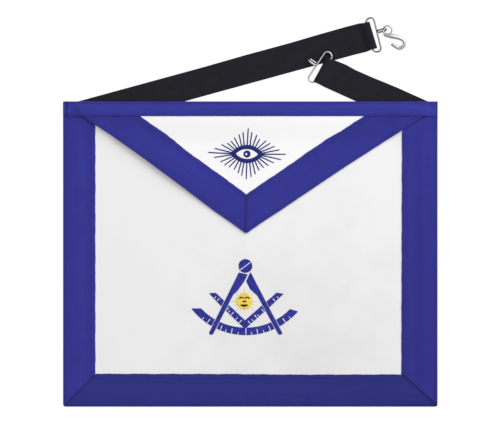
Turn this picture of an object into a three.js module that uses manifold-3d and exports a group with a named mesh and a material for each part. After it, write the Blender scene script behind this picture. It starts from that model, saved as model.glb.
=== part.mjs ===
// A masonic apron lying face up: white leather panel and flap with blue ribbon borders,
// two black webbing straps that end in bent wire frames, and a snake hook.
// Millimetres, +Z up. While it is built, x = 0 is the apron's middle, y = 0 its top edge and
// z = 0 what it lies on; the last lines put the origin under the middle of the whole part.
// Heights are worked out layer by layer, so that each sheet lies on what is under it.

import * as THREE from 'three';
import { mergeVertices } from 'three/addons/utils/BufferGeometryUtils.js';
import Module from 'manifold-3d';

const wasm = await Module();
wasm.setup();

// Apron body
const APRON_WIDTH = 406;
const APRON_HEIGHT = 331;
const CORNER_RADIUS = 4;
const PANEL_THICKNESS = 1.2;
const GAP = 0.25;

// Ribbons round the edges
const RIBBON_THICKNESS = 1;
const LEFT_RIBBON = 35;
const RIGHT_RIBBON = 39;
const BOTTOM_RIBBON = 35;
const TURNED_BACK = 12;
const HEM_FADE = 12;
const BAND_DEPTH = 16;
const SEAM_GAP = 0.3;

// Flap
const FLAP_THICKNESS = 1;
const FLAP_DROP = 144.5;
const FLAP_TIP_X = -4.1;
const FLAP_TIP_BLUNT = 1.6;
const FLAP_INSET_LEFT = 20.6;
const FLAP_INSET_RIGHT = 16.6;
const FLAP_RIBBON = 35;
const FLAP_TUCK = 6;
const FLAP_LIFT = 2.6;
const FLAP_LIFT_WIDTH = 40;

// Webbing straps: where the middle line crosses the top edge, its heading and how far it reaches
const STRAP_WIDTH = 30;
const STRAP_THICKNESS = 1.4;
const STRAP_SEWN_IN = 13;
const STRAP_EDGE_MARGIN = 4;
const LEFT_STRAP = { crossing: -130.3, heading: 15.3, reach: 273.4, end_skew: 1.3 };
const RIGHT_STRAP = { crossing: 152.4, heading: 155.8, reach: 84.6, end_skew: -4 };
const FOLD_BACK = 20.5;
const LOOP_SLACK = 3.1;
const LOOP_TAPER = 6.2;
const LOOP_CLEARANCE = 0.32;
const RAMP_LENGTH = 52;
const STEP_DOWN = 11.5;

// Wire frames, each with its bar in a strap's fold
const WIRE = 1.95;
const FRAME_LENGTH = 39.6;
const FRAME_DEPTH = 9.4;
const FRAME_BEND = 3.9;
const BAR_BEND = 2.5;
const EYELET_REACH = 11.3;
const EYELET_HEIGHT = 6.5;
const LEFT_FRAME = { inset: 4.9, slide: 0, skew: -1.4, eyelet_at: 2.5, eyelet_lean: 0 };
const RIGHT_FRAME = { inset: 4, slide: -1.6, skew: -9.5, eyelet_at: 0, eyelet_lean: 35 };
const REST_CLEARANCE = 0.05;
const LYING_CLEARANCE = 0.3;

// Snake hook, linked in the left frame's eyelet
const HOOK_DROP = 22;
const HOOK_THICKNESS = 5;
const HOOK_FLATNESS = 0.9;
const HOOK_RING_RADIUS = 4.75;
const HOOK_RING_WIDTH = 1.8;
const HOOK_RING_THICKNESS = 1.9;
const HOOK_RING_FROM_WIRE = 11.5;
const HOOK_RING_ASIDE = -1.2;

// Embroidery on the flap: an eye with rays
const THREAD_RELIEF = 0.8;
const THREAD_GAP = 0.05;
const EYE_FROM_TOP = 57;
const EYE_X = -3.6;
const EYE_WIDTH = 35.5;
const EYE_HEIGHT = 19.5;
const EYE_WHITE_WIDTH = 24;
const EYE_WHITE_HEIGHT = 10.9;
const IRIS_RADIUS = 3.9;
const GLINT_RADIUS = 1.4;
const RAY_REACH_X = 42.3;
const RAY_REACH_Y = 27.1;
const RAY_WIDTH = 1.2;
const RAYS_PER_QUARTER = 8;

// Embroidery on the panel: compasses, square, quadrant and sun
const PIVOT_X = -5.3;
const PIVOT_FROM_TOP = 178.4;
const COMPASS_HEAD_RADIUS = 7.4;
const LEG_DROP = 74;
const SQUARE_HALF_SPAN = 39;
const SQUARE_ARM_DROP = 30.4;
const SQUARE_POINT_DROP = 68;
const SQUARE_ARM_WIDTH = 5.6;
const QUADRANT_RADIUS = 75.1;
const QUADRANT_WIDTH = 7.2;
const QUADRANT_END_DROP = 47;
const SUN_DROP = 39;
const SUN_RADIUS = 8.7;
const SUN_RAY_REACH = 14.2;
const SUN_RAYS = 16;

const BLUE_RIBBON = { color: 0x34358c, roughness: 0.75, metalness: 0 };
const WHITE_LEATHER = { color: 0xececea, roughness: 0.55, metalness: 0 };
const BLACK_WEBBING = { color: 0x232128, roughness: 0.85, metalness: 0 };
const STEEL = { color: 0xb9b7b9, roughness: 0.3, metalness: 1 };
const NAVY_THREAD = { color: 0x28307a, roughness: 0.6, metalness: 0 };
const BLUE_THREAD = { color: 0x3a3fa0, roughness: 0.6, metalness: 0 };
const YELLOW_THREAD = { color: 0xf2c64a, roughness: 0.6, metalness: 0 };

const LEFT_X = -APRON_WIDTH / 2;
const RIGHT_X = APRON_WIDTH / 2;
const RIBBON_STEP = RIBBON_THICKNESS + GAP;
const STRAP_STEP = STRAP_THICKNESS + GAP;
const HEM_RADIUS = PANEL_THICKNESS / 2 + RIBBON_STEP;
const UP = new THREE.Vector3(0, 0, 1);
const radians = THREE.MathUtils.degToRad;
const smooth = THREE.MathUtils.smoothstep;
const lerp = THREE.MathUtils.lerp;
const group = new THREE.Group();

// Shared corners merged, collapsed triangles dropped and the faces turned outwards.
function tidied(source) {
  const bare = source.index ? source.toNonIndexed() : source;
  const corners = new THREE.BufferGeometry();
  corners.setAttribute('position', bare.getAttribute('position'));
  const merged = mergeVertices(corners, 1e-4);
  const at = merged.getAttribute('position');
  const from = merged.index.array;
  const [a, b, c] = [new THREE.Vector3(), new THREE.Vector3(), new THREE.Vector3()];
  const kept = [];
  let volume = 0;
  for (let i = 0; i < from.length; i += 3) {
    const [p, q, r] = [from[i], from[i + 1], from[i + 2]];
    if (p !== q && q !== r && r !== p) {
      kept.push([p, q, r]);
      b.fromBufferAttribute(at, q);
      c.fromBufferAttribute(at, r);
      volume += a.fromBufferAttribute(at, p).dot(b.cross(c));
    }
  }
  merged.setIndex(kept.flatMap(([p, q, r]) => (volume < 0 ? [p, r, q] : [p, q, r])));
  return merged;
}

// A closed solid from a list of triangles, each of three [x, y, z] points.
function solidOf(triangles) {
  const geometry = new THREE.BufferGeometry();
  geometry.setAttribute('position', new THREE.Float32BufferAttribute(triangles.flat(2), 3));
  return tidied(geometry);
}

function toManifold(geometry) {
  const closed = tidied(geometry);
  return new wasm.Manifold(new wasm.Mesh({
    numProp: 3,
    vertProperties: new Float32Array(closed.getAttribute('position').array),
    triVerts: new Uint32Array(closed.index.array),
  }));
}

function fromManifold(solid) {
  const mesh = solid.getMesh();
  const geometry = new THREE.BufferGeometry();
  geometry.setAttribute('position', new THREE.Float32BufferAttribute(mesh.vertProperties, 3));
  geometry.setIndex([...mesh.triVerts]);
  return geometry;
}

function fused(geometries) {
  return fromManifold(geometries.map(toManifold).reduce((whole, part) => whole.add(part)));
}

function cut(geometry, tools) {
  const whole = toManifold(geometry);
  return fromManifold(tools.map(toManifold).reduce((rest, tool) => rest.subtract(tool), whole));
}

function addPiece(name, geometry, finish) {
  const mesh = new THREE.Mesh(geometry, new THREE.MeshStandardMaterial(finish));
  mesh.name = name;
  group.add(mesh);
}

// A sheet with a wall: place(row, column) gives its outer and its inner point.
function thickSheet(rows, columns, place) {
  const grid = rows.map((row) => columns.map((column) => place(row, column)));
  const triangles = [];
  const quad = (a, b, c, d) => triangles.push([a, b, c], [a, c, d]);
  const lastRow = rows.length - 1;
  const lastColumn = columns.length - 1;
  for (let i = 0; i < lastRow; i += 1) {
    for (let j = 0; j < lastColumn; j += 1) {
      const [a, b, c, d] = [grid[i][j], grid[i][j + 1], grid[i + 1][j + 1], grid[i + 1][j]];
      quad(a.outer, b.outer, c.outer, d.outer);
      triangles.push([a.inner, c.inner, b.inner], [a.inner, d.inner, c.inner]);
    }
    const [first, below] = [grid[i][0], grid[i + 1][0]];
    const [last, belowLast] = [grid[i][lastColumn], grid[i + 1][lastColumn]];
    quad(first.outer, below.outer, below.inner, first.inner);
    quad(last.outer, last.inner, belowLast.inner, belowLast.outer);
  }
  for (let j = 0; j < lastColumn; j += 1) {
    const [top, beside] = [grid[0][j], grid[0][j + 1]];
    const [bottom, besideBottom] = [grid[lastRow][j], grid[lastRow][j + 1]];
    quad(top.outer, top.inner, beside.inner, beside.outer);
    quad(bottom.outer, besideBottom.outer, besideBottom.inner, bottom.inner);
  }
  return solidOf(triangles);
}

// A round tube along a flat line of points, whose plane has the given normal.
function tube(points, normal, radiusAt, { sides = 8, closed = false, flatness = 1 } = {}) {
  const count = points.length;
  const rings = points.map((point, i) => {
    const before = closed ? points[(i + count - 1) % count] : points[Math.max(i - 1, 0)];
    const after = closed ? points[(i + 1) % count] : points[Math.min(i + 1, count - 1)];
    const aside = after.clone().sub(before).cross(normal).normalize();
    const radius = radiusAt(i / (count - 1));
    return Array.from({ length: sides }, (_, k) => {
      const angle = (2 * Math.PI * (k + 0.5)) / sides;
      return point.clone()
        .addScaledVector(aside, radius * Math.cos(angle))
        .addScaledVector(normal, radius * flatness * Math.sin(angle))
        .toArray();
    });
  });
  const triangles = [];
  for (let i = 0; i < (closed ? count : count - 1); i += 1) {
    const [ring, next] = [rings[i], rings[(i + 1) % count]];
    for (let k = 0; k < sides; k += 1) {
      const m = (k + 1) % sides;
      triangles.push([ring[k], ring[m], next[m]], [ring[k], next[m], next[k]]);
    }
  }
  if (!closed) {
    const [start, end] = [rings[0], rings[count - 1]];
    for (let k = 1; k < sides - 1; k += 1) {
      triangles.push([start[0], start[k + 1], start[k]], [end[0], end[k], end[k + 1]]);
    }
  }
  return solidOf(triangles);
}

// Evenly spaced values from one to another, without the last one.
function spread(from, to, count) {
  return Array.from({ length: count }, (_, i) => lerp(from, to, i / count));
}

// Points of an arc, with its two ends.
function arc(centreX, centreY, radius, fromAngle, toAngle, steps) {
  return [...spread(fromAngle, toAngle, steps), toAngle].map((angle) => new THREE.Vector2(
    centreX + radius * Math.cos(radians(angle)),
    centreY + radius * Math.sin(radians(angle)),
  ));
}

// How far the top edge is raised: 1 over the straps and the band's back layer, 0 on the flat.
function topRise(y) {
  return 1 - smooth(-y, BAND_DEPTH + 1, BAND_DEPTH + 1 + HEM_FADE);
}

// 0 where a ribbon's turned-back layer lifts the panel, 1 where the panel lies flat.
function clearOfHem(distance) {
  return smooth(distance, TURNED_BACK + 2, TURNED_BACK + 2 + HEM_FADE);
}

function panelBottom(x, y) {
  const flat = clearOfHem(x - LEFT_X) * clearOfHem(RIGHT_X - x)
    * clearOfHem(APRON_HEIGHT + y) * (1 - topRise(y));
  return RIBBON_STEP * (1 - flat) + STRAP_STEP * topRise(y);
}

function panelTop(x, y) {
  return panelBottom(x, y) + PANEL_THICKNESS;
}

// The apron's square lower corners drawn in to a round of CORNER_RADIUS.
function rounded(x, y) {
  const side = x < 0 ? -1 : 1;
  const across = CORNER_RADIUS - (RIGHT_X - Math.abs(x));
  const down = CORNER_RADIUS - (APRON_HEIGHT + y);
  if (across <= 0 || down <= 0) return [x, y];
  const shrink = Math.max(across, down) / Math.hypot(across, down);
  return [
    side * (RIGHT_X - CORNER_RADIUS + across * shrink),
    -APRON_HEIGHT + CORNER_RADIUS - down * shrink,
  ];
}

// Distances from an outer edge at which the sheets have a line of corners.
const HEM_STOPS = [HEM_RADIUS, ...spread(TURNED_BACK + 2, TURNED_BACK + 2 + HEM_FADE, 3),
  TURNED_BACK + 2 + HEM_FADE];
const TOP_STOPS = [BAND_DEPTH + SEAM_GAP, ...spread(BAND_DEPTH + 4, BAND_DEPTH + 1 + HEM_FADE, 3),
  BAND_DEPTH + 1 + HEM_FADE];

const X_LINES = [
  ...HEM_STOPS.map((stop) => LEFT_X + stop),
  ...spread(LEFT_X + LEFT_RIBBON, RIGHT_X - RIGHT_RIBBON, 5),
  RIGHT_X - RIGHT_RIBBON,
  ...HEM_STOPS.map((stop) => RIGHT_X - stop).reverse(),
];
const Y_LINES = [
  ...TOP_STOPS.map((stop) => -stop),
  ...spread(-BAND_DEPTH - 2 * HEM_FADE, -APRON_HEIGHT + BOTTOM_RIBBON, 4),
  -APRON_HEIGHT + BOTTOM_RIBBON,
  ...HEM_STOPS.map((stop) => -APRON_HEIGHT + stop).reverse(),
];

function apronPanel() {
  return thickSheet([-HEM_RADIUS, ...Y_LINES], X_LINES, (y, x) => {
    const spot = rounded(x, y);
    return { outer: [...spot, panelTop(x, y)], inner: [...spot, panelBottom(x, y)] };
  });
}

// A ribbon folded round the panel's edge. spotAt gives the place at a distance from that edge;
// turn is 0 on the face, 180 on the back and in between round the fold.
function foldedRibbon({ rows, faceStops, backDepth, spotAt, faceOn }) {
  const stations = [
    ...faceStops.map((distance) => ({ distance, turn: 0 })),
    ...[0, 45, 90, 135, 180].map((turn) => ({ distance: HEM_RADIUS, turn })),
    { distance: backDepth, turn: 180 },
  ];
  const at = (row, { distance, turn }, radius) => {
    const core = spotAt(row, distance);
    const spot = spotAt(row, distance - radius * Math.sin(radians(turn)));
    const middle = turn <= 90
      ? faceOn(...core) - PANEL_THICKNESS / 2
      : panelBottom(...core) + PANEL_THICKNESS / 2;
    return [...rounded(...spot), middle + radius * Math.cos(radians(turn))];
  };
  return thickSheet(rows, stations, (row, station) => ({
    outer: at(row, station, HEM_RADIUS),
    inner: at(row, station, HEM_RADIUS - RIBBON_THICKNESS),
  }));
}

// A side ribbon, mitred against the bottom ribbon.
function sideBorder(side, width) {
  const mitre = BOTTOM_RIBBON / width;
  return foldedRibbon({
    rows: [...Y_LINES, -APRON_HEIGHT],
    faceStops: [width, ...HEM_STOPS.slice(1).reverse()],
    backDepth: TURNED_BACK,
    faceOn: panelTop,
    spotAt: (y, distance) => [
      side * (RIGHT_X - distance),
      Math.max(y, -APRON_HEIGHT + distance * mitre + SEAM_GAP / 2),
    ],
  });
}

function bottomBorder() {
  return foldedRibbon({
    rows: [LEFT_X, ...X_LINES, RIGHT_X],
    faceStops: [BOTTOM_RIBBON, ...HEM_STOPS.slice(1).reverse()],
    backDepth: TURNED_BACK,
    faceOn: panelTop,
    spotAt: (x, distance) => {
      const least = LEFT_X + (distance * LEFT_RIBBON) / BOTTOM_RIBBON + SEAM_GAP / 2;
      const most = RIGHT_X - (distance * RIGHT_RIBBON) / BOTTOM_RIBBON - SEAM_GAP / 2;
      return [THREE.MathUtils.clamp(x, least, most), -APRON_HEIGHT + distance];
    },
  });
}

// The flap's outline: two straight edges from the band down to the tip.
const FLAP_TIP = new THREE.Vector2(FLAP_TIP_X, -FLAP_DROP);
const FLAP_EDGES = [
  { side: -1, corner: new THREE.Vector2(LEFT_X + FLAP_INSET_LEFT, -BAND_DEPTH) },
  { side: 1, corner: new THREE.Vector2(RIGHT_X - FLAP_INSET_RIGHT, -BAND_DEPTH) },
].map(({ side, corner }) => {
  const run = corner.clone().sub(FLAP_TIP);
  const inward = new THREE.Vector2(-side * run.y, side * run.x).normalize();
  return { side, corner, run, inward };
});
const [FLAP_LEFT, FLAP_RIGHT] = FLAP_EDGES;
const FLAP_MITRE = FLAP_LEFT.inward.clone().add(FLAP_RIGHT.inward)
  .divideScalar(1 + FLAP_LEFT.inward.dot(FLAP_RIGHT.inward));

// The place at a distance in from one edge of the flap, at a height y, kept on its own side.
function flapSpot(edge, distance, y, seam) {
  const level = Math.min(y, -BAND_DEPTH);
  const share = (level - FLAP_TIP.y) / edge.run.y;
  const x = FLAP_TIP.x + edge.run.x * share + distance / edge.inward.x;
  const mitreX = FLAP_TIP.x + ((level - FLAP_TIP.y) * FLAP_MITRE.x) / FLAP_MITRE.y;
  const limit = mitreX + edge.side * (seam / 2);
  return [edge.side < 0 ? Math.min(x, limit) : Math.max(x, limit), y];
}

// The left edge of the flap stands a little off the panel between the tip and the band.
function flapLift(x, y) {
  const share = (y - FLAP_TIP.y) / FLAP_LEFT.run.y;
  const distance = (x - FLAP_TIP.x - FLAP_LEFT.run.x * share) * FLAP_LEFT.inward.x;
  return FLAP_LIFT * (1 - smooth(distance, 4, FLAP_LIFT_WIDTH))
    * smooth(share, 0.1, 0.6) * (1 - smooth(share, 0.76, 0.97));
}

// How far the flap is raised where it crosses a side ribbon.
function overSideRibbons(x) {
  const reach = HEM_FADE + 5;
  const left = 1 - smooth(x - LEFT_X, LEFT_RIBBON + 1, LEFT_RIBBON + reach);
  const right = 1 - smooth(RIGHT_X - x, RIGHT_RIBBON + 1, RIGHT_RIBBON + reach);
  return (RIBBON_STEP + GAP) * Math.max(left, right);
}

function flapBottom(x, y) {
  return panelTop(x, y) + GAP + overSideRibbons(x) + flapLift(x, y);
}

const FLAP_LINES = [
  ...TOP_STOPS.map((stop) => -stop),
  ...spread(-BAND_DEPTH - 2 * HEM_FADE, -FLAP_DROP + 12, 6),
  -FLAP_DROP + 12,
  -FLAP_DROP + 6,
];
const FLAP_STOPS = [4, 8, 12, 16, 20, 25, 30];

function flapPanel() {
  const inset = RIBBON_THICKNESS + GAP;
  const tipLine = FLAP_TIP.y + inset * FLAP_MITRE.y;
  const stops = [inset, ...FLAP_STOPS, FLAP_RIBBON, FLAP_RIBBON + 5, FLAP_RIBBON + 20];
  const columns = [
    ...stops.map((distance) => [FLAP_LEFT, distance]),
    [FLAP_LEFT, APRON_WIDTH],
    ...[...stops].reverse().map((distance) => [FLAP_RIGHT, distance]),
  ];
  const rows = [-BAND_DEPTH + FLAP_TUCK, -BAND_DEPTH + FLAP_TUCK / 2, ...FLAP_LINES, tipLine];
  return thickSheet(rows, columns, (y, [edge, distance]) => {
    const spot = flapSpot(edge, distance, y, 0);
    const bottom = flapBottom(...spot);
    return { outer: [...spot, bottom + FLAP_THICKNESS], inner: [...spot, bottom] };
  });
}

// A ribbon on the flap, turned down over its outer edge and mitred at the tip.
function flapBorder(edge) {
  const wall = RIBBON_THICKNESS;
  const ease = wall / 2;
  const stations = [
    ...[FLAP_RIBBON, ...[...FLAP_STOPS].reverse()].map((at) => ({ out: at, in: at, drop: 0 })),
    { out: ease, in: wall, drop: 0 },
    { out: 0, in: wall, drop: ease },
    { out: 0, in: wall, drop: wall + GAP + FLAP_THICKNESS },
  ];
  const rows = [...FLAP_LINES, FLAP_TIP.y + FLAP_TIP_BLUNT];
  const ordered = edge.side < 0 ? stations.reverse() : stations;
  return thickSheet(rows, ordered, (y, station) => {
    const outer = flapSpot(edge, station.out, y, SEAM_GAP);
    const inner = flapSpot(edge, station.in, y, SEAM_GAP);
    const face = (spot) => flapBottom(...spot) + FLAP_THICKNESS + GAP;
    const under = Math.max(station.drop - wall, 0);
    return {
      outer: [...outer, face(outer) + wall - station.drop],
      inner: [...inner, face(inner) - under],
    };
  });
}

// What the band's face lies on: the panel at the fold, and the flap lower down.
function bandFaceOn(x, y) {
  const left = smooth(x - LEFT_X, FLAP_INSET_LEFT - FLAP_TUCK * 2, FLAP_INSET_LEFT);
  const right = smooth(RIGHT_X - x, FLAP_INSET_RIGHT - FLAP_TUCK * 2, FLAP_INSET_RIGHT);
  const tucked = smooth(-y, HEM_RADIUS, BAND_DEPTH - FLAP_TUCK - 1);
  const flap = flapBottom(x, y) + FLAP_THICKNESS - panelTop(x, y);
  return panelTop(x, y) + flap * Math.min(left, right) * tucked;
}

function topBand() {
  const leftEnd = [LEFT_X, ...spread(LEFT_X + FLAP_INSET_LEFT - FLAP_TUCK * 2, LEFT_X + FLAP_INSET_LEFT, 2),
    ...spread(LEFT_X + FLAP_INSET_LEFT, LEFT_X + LEFT_RIBBON + HEM_FADE + 5, 6),
    LEFT_X + LEFT_RIBBON + HEM_FADE + 5];
  const rightEnd = [RIGHT_X, ...spread(RIGHT_X - FLAP_INSET_RIGHT + FLAP_TUCK * 2, RIGHT_X - FLAP_INSET_RIGHT, 2),
    ...spread(RIGHT_X - FLAP_INSET_RIGHT, RIGHT_X - RIGHT_RIBBON - HEM_FADE - 5, 6),
    RIGHT_X - RIGHT_RIBBON - HEM_FADE - 5];
  return foldedRibbon({
    rows: [...leftEnd, ...rightEnd.reverse()],
    faceStops: [BAND_DEPTH, BAND_DEPTH - FLAP_TUCK - 1, (BAND_DEPTH - FLAP_TUCK) / 2],
    backDepth: BAND_DEPTH,
    faceOn: bandFaceOn,
    spotAt: (x, distance) => [x, -distance],
  });
}

// Directions of a strap or a frame: ahead towards the free end, aside to its left.
function directions(heading) {
  const ahead = new THREE.Vector3(Math.cos(radians(heading)), Math.sin(radians(heading)), 0);
  return { ahead, aside: new THREE.Vector3().crossVectors(UP, ahead) };
}

function strapEnd(strap) {
  return new THREE.Vector3(strap.crossing, 0, 0)
    .addScaledVector(directions(strap.heading).ahead, strap.reach);
}

const LOOP_HOLE = WIRE / 2 + LOOP_CLEARANCE;
const LOOP_RADIUS = LOOP_HOLE + STRAP_THICKNESS;
const EYELET_CENTRELINE_HEIGHT = EYELET_HEIGHT - WIRE;

// Half the height of an eyelet that leans over by an angle.
function eyeletHalfHeight(lean) {
  return (EYELET_CENTRELINE_HEIGHT * Math.cos(radians(lean)) + WIRE) / 2;
}

const LEFT_FRAME_Z = eyeletHalfHeight(LEFT_FRAME.eyelet_lean) + REST_CLEARANCE;
const RIGHT_FRAME_Z = STRAP_THICKNESS + LYING_CLEARANCE + eyeletHalfHeight(RIGHT_FRAME.eyelet_lean);

// The long section of a strap: distance in from its end against height, with the end loop's
// rounded nose. under and over list the lower and the upper line past the loop.
function strapSection(loopZ, under, over) {
  const nose = arc(LOOP_RADIUS, loopZ, LOOP_RADIUS, 270, 90, 8);
  const lower = [...under].reverse().map(([x, y]) => new THREE.Vector2(x, y));
  const upper = over.map(([x, y]) => new THREE.Vector2(x, y));
  const section = new THREE.Shape([...lower, ...nose, ...upper]);
  const far = LOOP_RADIUS + LOOP_SLACK;
  section.holes.push(new THREE.Path([
    ...arc(LOOP_RADIUS, loopZ, LOOP_HOLE, 90, 270, 6),
    ...arc(far, loopZ, LOOP_HOLE, 270, 450, 6),
  ]));
  return section;
}

// The left strap's end is folded back underneath.
function leftStrapSection(length) {
  const t = STRAP_THICKNESS;
  const loop = LOOP_RADIUS + LOOP_SLACK;
  const under = [[loop, LEFT_FRAME_Z - LOOP_RADIUS], [loop + LOOP_TAPER, 0], [FOLD_BACK, 0],
    [FOLD_BACK, t], [FOLD_BACK + STEP_DOWN, 0], [length, 0]];
  const over = [[loop, LEFT_FRAME_Z + LOOP_RADIUS], [loop + LOOP_TAPER, 2 * t],
    [FOLD_BACK, 2 * t], [FOLD_BACK + STEP_DOWN, t], [length, t]];
  return strapSection(LEFT_FRAME_Z, under, over);
}

// The right strap's end is folded back on top and rises over the left strap.
function rightStrapSection(length) {
  const t = STRAP_THICKNESS;
  const loop = LOOP_RADIUS + LOOP_SLACK;
  const raised = RIGHT_FRAME_Z - LOOP_RADIUS;
  const ground = (at) => raised * (1 - smooth(at, loop, loop + RAMP_LENGTH));
  const ramp = spread(FOLD_BACK, loop + RAMP_LENGTH, 6);
  const flat = [loop + RAMP_LENGTH, length];
  const under = [loop, loop + LOOP_TAPER, ...ramp, ...flat].map((at) => [at, ground(at)]);
  const over = [[loop, RIGHT_FRAME_Z + LOOP_RADIUS],
    ...[loop + LOOP_TAPER, FOLD_BACK].map((at) => [at, ground(at) + 2 * t]),
    ...[...ramp, ...flat].map((at) => [at, ground(at) + t])];
  return strapSection(RIGHT_FRAME_Z, under, over);
}

// A strap carried along its heading and trimmed inside the top band.
function strapSolid(strap, sectionOf, side) {
  const hidden = 2 * STRAP_WIDTH + STRAP_SEWN_IN / Math.sin(radians(strap.heading));
  const section = sectionOf(strap.reach + hidden);
  const body = new THREE.ExtrudeGeometry(section, { depth: STRAP_WIDTH, bevelEnabled: false });
  const { ahead, aside } = directions(strap.heading);
  const end = strapEnd(strap);
  const at = body.getAttribute('position');
  for (let i = 0; i < at.count; i += 1) {
    const across = at.getZ(i) - STRAP_WIDTH / 2;
    const skewed = 1 - smooth(at.getX(i), FOLD_BACK, 2 * FOLD_BACK);
    const along = at.getX(i) + across * Math.tan(radians(strap.end_skew)) * skewed;
    const spot = end.clone().addScaledVector(ahead, -along).addScaledVector(aside, across);
    at.setXYZ(i, spot.x, spot.y, at.getY(i));
  }
  const size = strap.reach + hidden;
  const below = new THREE.BoxGeometry(4 * size, size, size);
  below.translate(0, -STRAP_SEWN_IN - size / 2, 0);
  const outside = new THREE.BoxGeometry(size, 4 * size, size);
  outside.translate(side * (RIGHT_X - STRAP_EDGE_MARGIN + size / 2), 0, 0);
  return cut(body, [below, outside]);
}

// A frame's own axes: its origin on the bar's axis, level with the strap's loop.
function frameAxes(strap, frame, z) {
  const strapWays = directions(strap.heading);
  const { ahead, aside } = directions(strap.heading + frame.skew);
  const origin = strapEnd(strap)
    .addScaledVector(strapWays.ahead, -frame.inset)
    .addScaledVector(aside, frame.slide);
  origin.z = z;
  return new THREE.Matrix4().makeBasis(ahead, aside, UP).setPosition(origin);
}

const LEFT_AXES = frameAxes(LEFT_STRAP, LEFT_FRAME, LEFT_FRAME_Z);
const RIGHT_AXES = frameAxes(RIGHT_STRAP, RIGHT_FRAME, RIGHT_FRAME_Z);

// A wire frame: a rounded oblong of wire, and an oval eyelet standing on its outer side.
function wireFrame(frame, axes) {
  const half = (FRAME_LENGTH - WIRE) / 2;
  const outline = [
    ...arc(BAR_BEND, BAR_BEND - half, BAR_BEND, 180, 270, 4),
    ...arc(FRAME_DEPTH - FRAME_BEND, FRAME_BEND - half, FRAME_BEND, 270, 360, 4),
    ...arc(FRAME_DEPTH - FRAME_BEND, half - FRAME_BEND, FRAME_BEND, 0, 90, 4),
    ...arc(BAR_BEND, half - BAR_BEND, BAR_BEND, 90, 180, 4),
  ].map((p) => new THREE.Vector3(p.x, p.y, 0));
  const round = EYELET_CENTRELINE_HEIGHT / 2;
  const lean = radians(frame.eyelet_lean);
  const rise = new THREE.Vector3(0, Math.sin(lean), Math.cos(lean));
  const oval = [
    ...arc(FRAME_DEPTH + round, 0, round, 90, 270, 6),
    ...arc(FRAME_DEPTH + EYELET_REACH - WIRE / 2 - round, 0, round, 270, 450, 6),
  ].map((p) => new THREE.Vector3(p.x, frame.eyelet_at, 0).addScaledVector(rise, p.y));
  const across = new THREE.Vector3(0, Math.cos(lean), -Math.sin(lean));
  const wire = () => WIRE / 2;
  const loop = tube(outline, UP, wire, { closed: true });
  const eyelet = tube(oval, across, wire, { closed: true });
  return fused([loop, eyelet]).applyMatrix4(axes);
}

// The snake hook's middle line from its ring to its tip: ahead and aside as shares of HOOK_DROP,
// thick as a share of HOOK_THICKNESS, sink as a share of the ring's height over the floor.
const HOOK_LINE = [
  { ahead: -0.195, aside: -0.1, thick: 0.5, sink: 0 },
  { ahead: -0.13, aside: -0.2, thick: 0.68, sink: 0 },
  { ahead: 0.11, aside: -0.32, thick: 0.98, sink: 0.06 },
  { ahead: 0.385, aside: -0.455, thick: 0.84, sink: 0.2 },
  { ahead: 0.6, aside: -0.62, thick: 0.7, sink: 0.36 },
  { ahead: 0.665, aside: -0.8, thick: 0.66, sink: 0.45 },
  { ahead: 0.56, aside: -0.965, thick: 0.72, sink: 0.47 },
  { ahead: 0.36, aside: -1, thick: 0.72, sink: 0.47 },
  { ahead: 0.2, aside: -0.88, thick: 0.68, sink: 0.48 },
  { ahead: 0.08, aside: -0.765, thick: 0.6, sink: 0.5 },
  { ahead: 0.01, aside: -0.7, thick: 0.42, sink: 0.52 },
];

function snakeHook() {
  const ringPoints = spread(0, 360, 20).map((angle) => new THREE.Vector3(
    HOOK_RING_RADIUS * Math.cos(radians(angle)),
    HOOK_RING_RADIUS * Math.sin(radians(angle)),
    0,
  ));
  const ring = tube(ringPoints, UP, () => HOOK_RING_WIDTH / 2, {
    closed: true,
    flatness: HOOK_RING_THICKNESS / HOOK_RING_WIDTH,
  });
  const line = new THREE.CatmullRomCurve3(HOOK_LINE.map(({ ahead, aside, sink }) => (
    new THREE.Vector3(ahead * HOOK_DROP, aside * HOOK_DROP, -sink * LEFT_FRAME_Z))));
  const steps = 3 * (HOOK_LINE.length - 1);
  const thickness = (share) => {
    const at = share * (HOOK_LINE.length - 1);
    const row = Math.min(Math.floor(at), HOOK_LINE.length - 2);
    return HOOK_THICKNESS * lerp(HOOK_LINE[row].thick, HOOK_LINE[row + 1].thick, at - row);
  };
  const body = tube(line.getPoints(steps), UP, (share) => thickness(share) / 2, {
    sides: 10,
    flatness: HOOK_FLATNESS,
  });
  const centre = new THREE.Vector3(
    FRAME_DEPTH + HOOK_RING_FROM_WIRE,
    LEFT_FRAME.eyelet_at + HOOK_RING_ASIDE,
    0,
  );
  return fused([ring, body]).translate(...centre).applyMatrix4(LEFT_AXES);
}

// A flat shape with a relief's height.
function relief(outline, holes = [], height = THREAD_RELIEF) {
  const shape = new THREE.Shape(outline);
  holes.forEach((hole) => shape.holes.push(new THREE.Path(hole)));
  return new THREE.ExtrudeGeometry(shape, { depth: height, bevelEnabled: false });
}

// A lens with pointed ends, width by height.
function lens(width, height, steps) {
  const bow = (share) => (height / 2) * (1 - share ** 2) ** 0.85;
  const lower = spread(-1, 1, steps).map((s) => new THREE.Vector2((s * width) / 2, -bow(s)));
  const upper = spread(1, -1, steps).map((s) => new THREE.Vector2((s * width) / 2, bow(s)));
  return [...lower, ...upper];
}

// A straight bar of an even width between two points.
function bar(from, to, width) {
  const side = to.clone().sub(from).normalize().rotateAround(new THREE.Vector2(), Math.PI / 2)
    .multiplyScalar(width / 2);
  return [from.clone().sub(side), to.clone().sub(side), to.clone().add(side), from.clone().add(side)];
}

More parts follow.
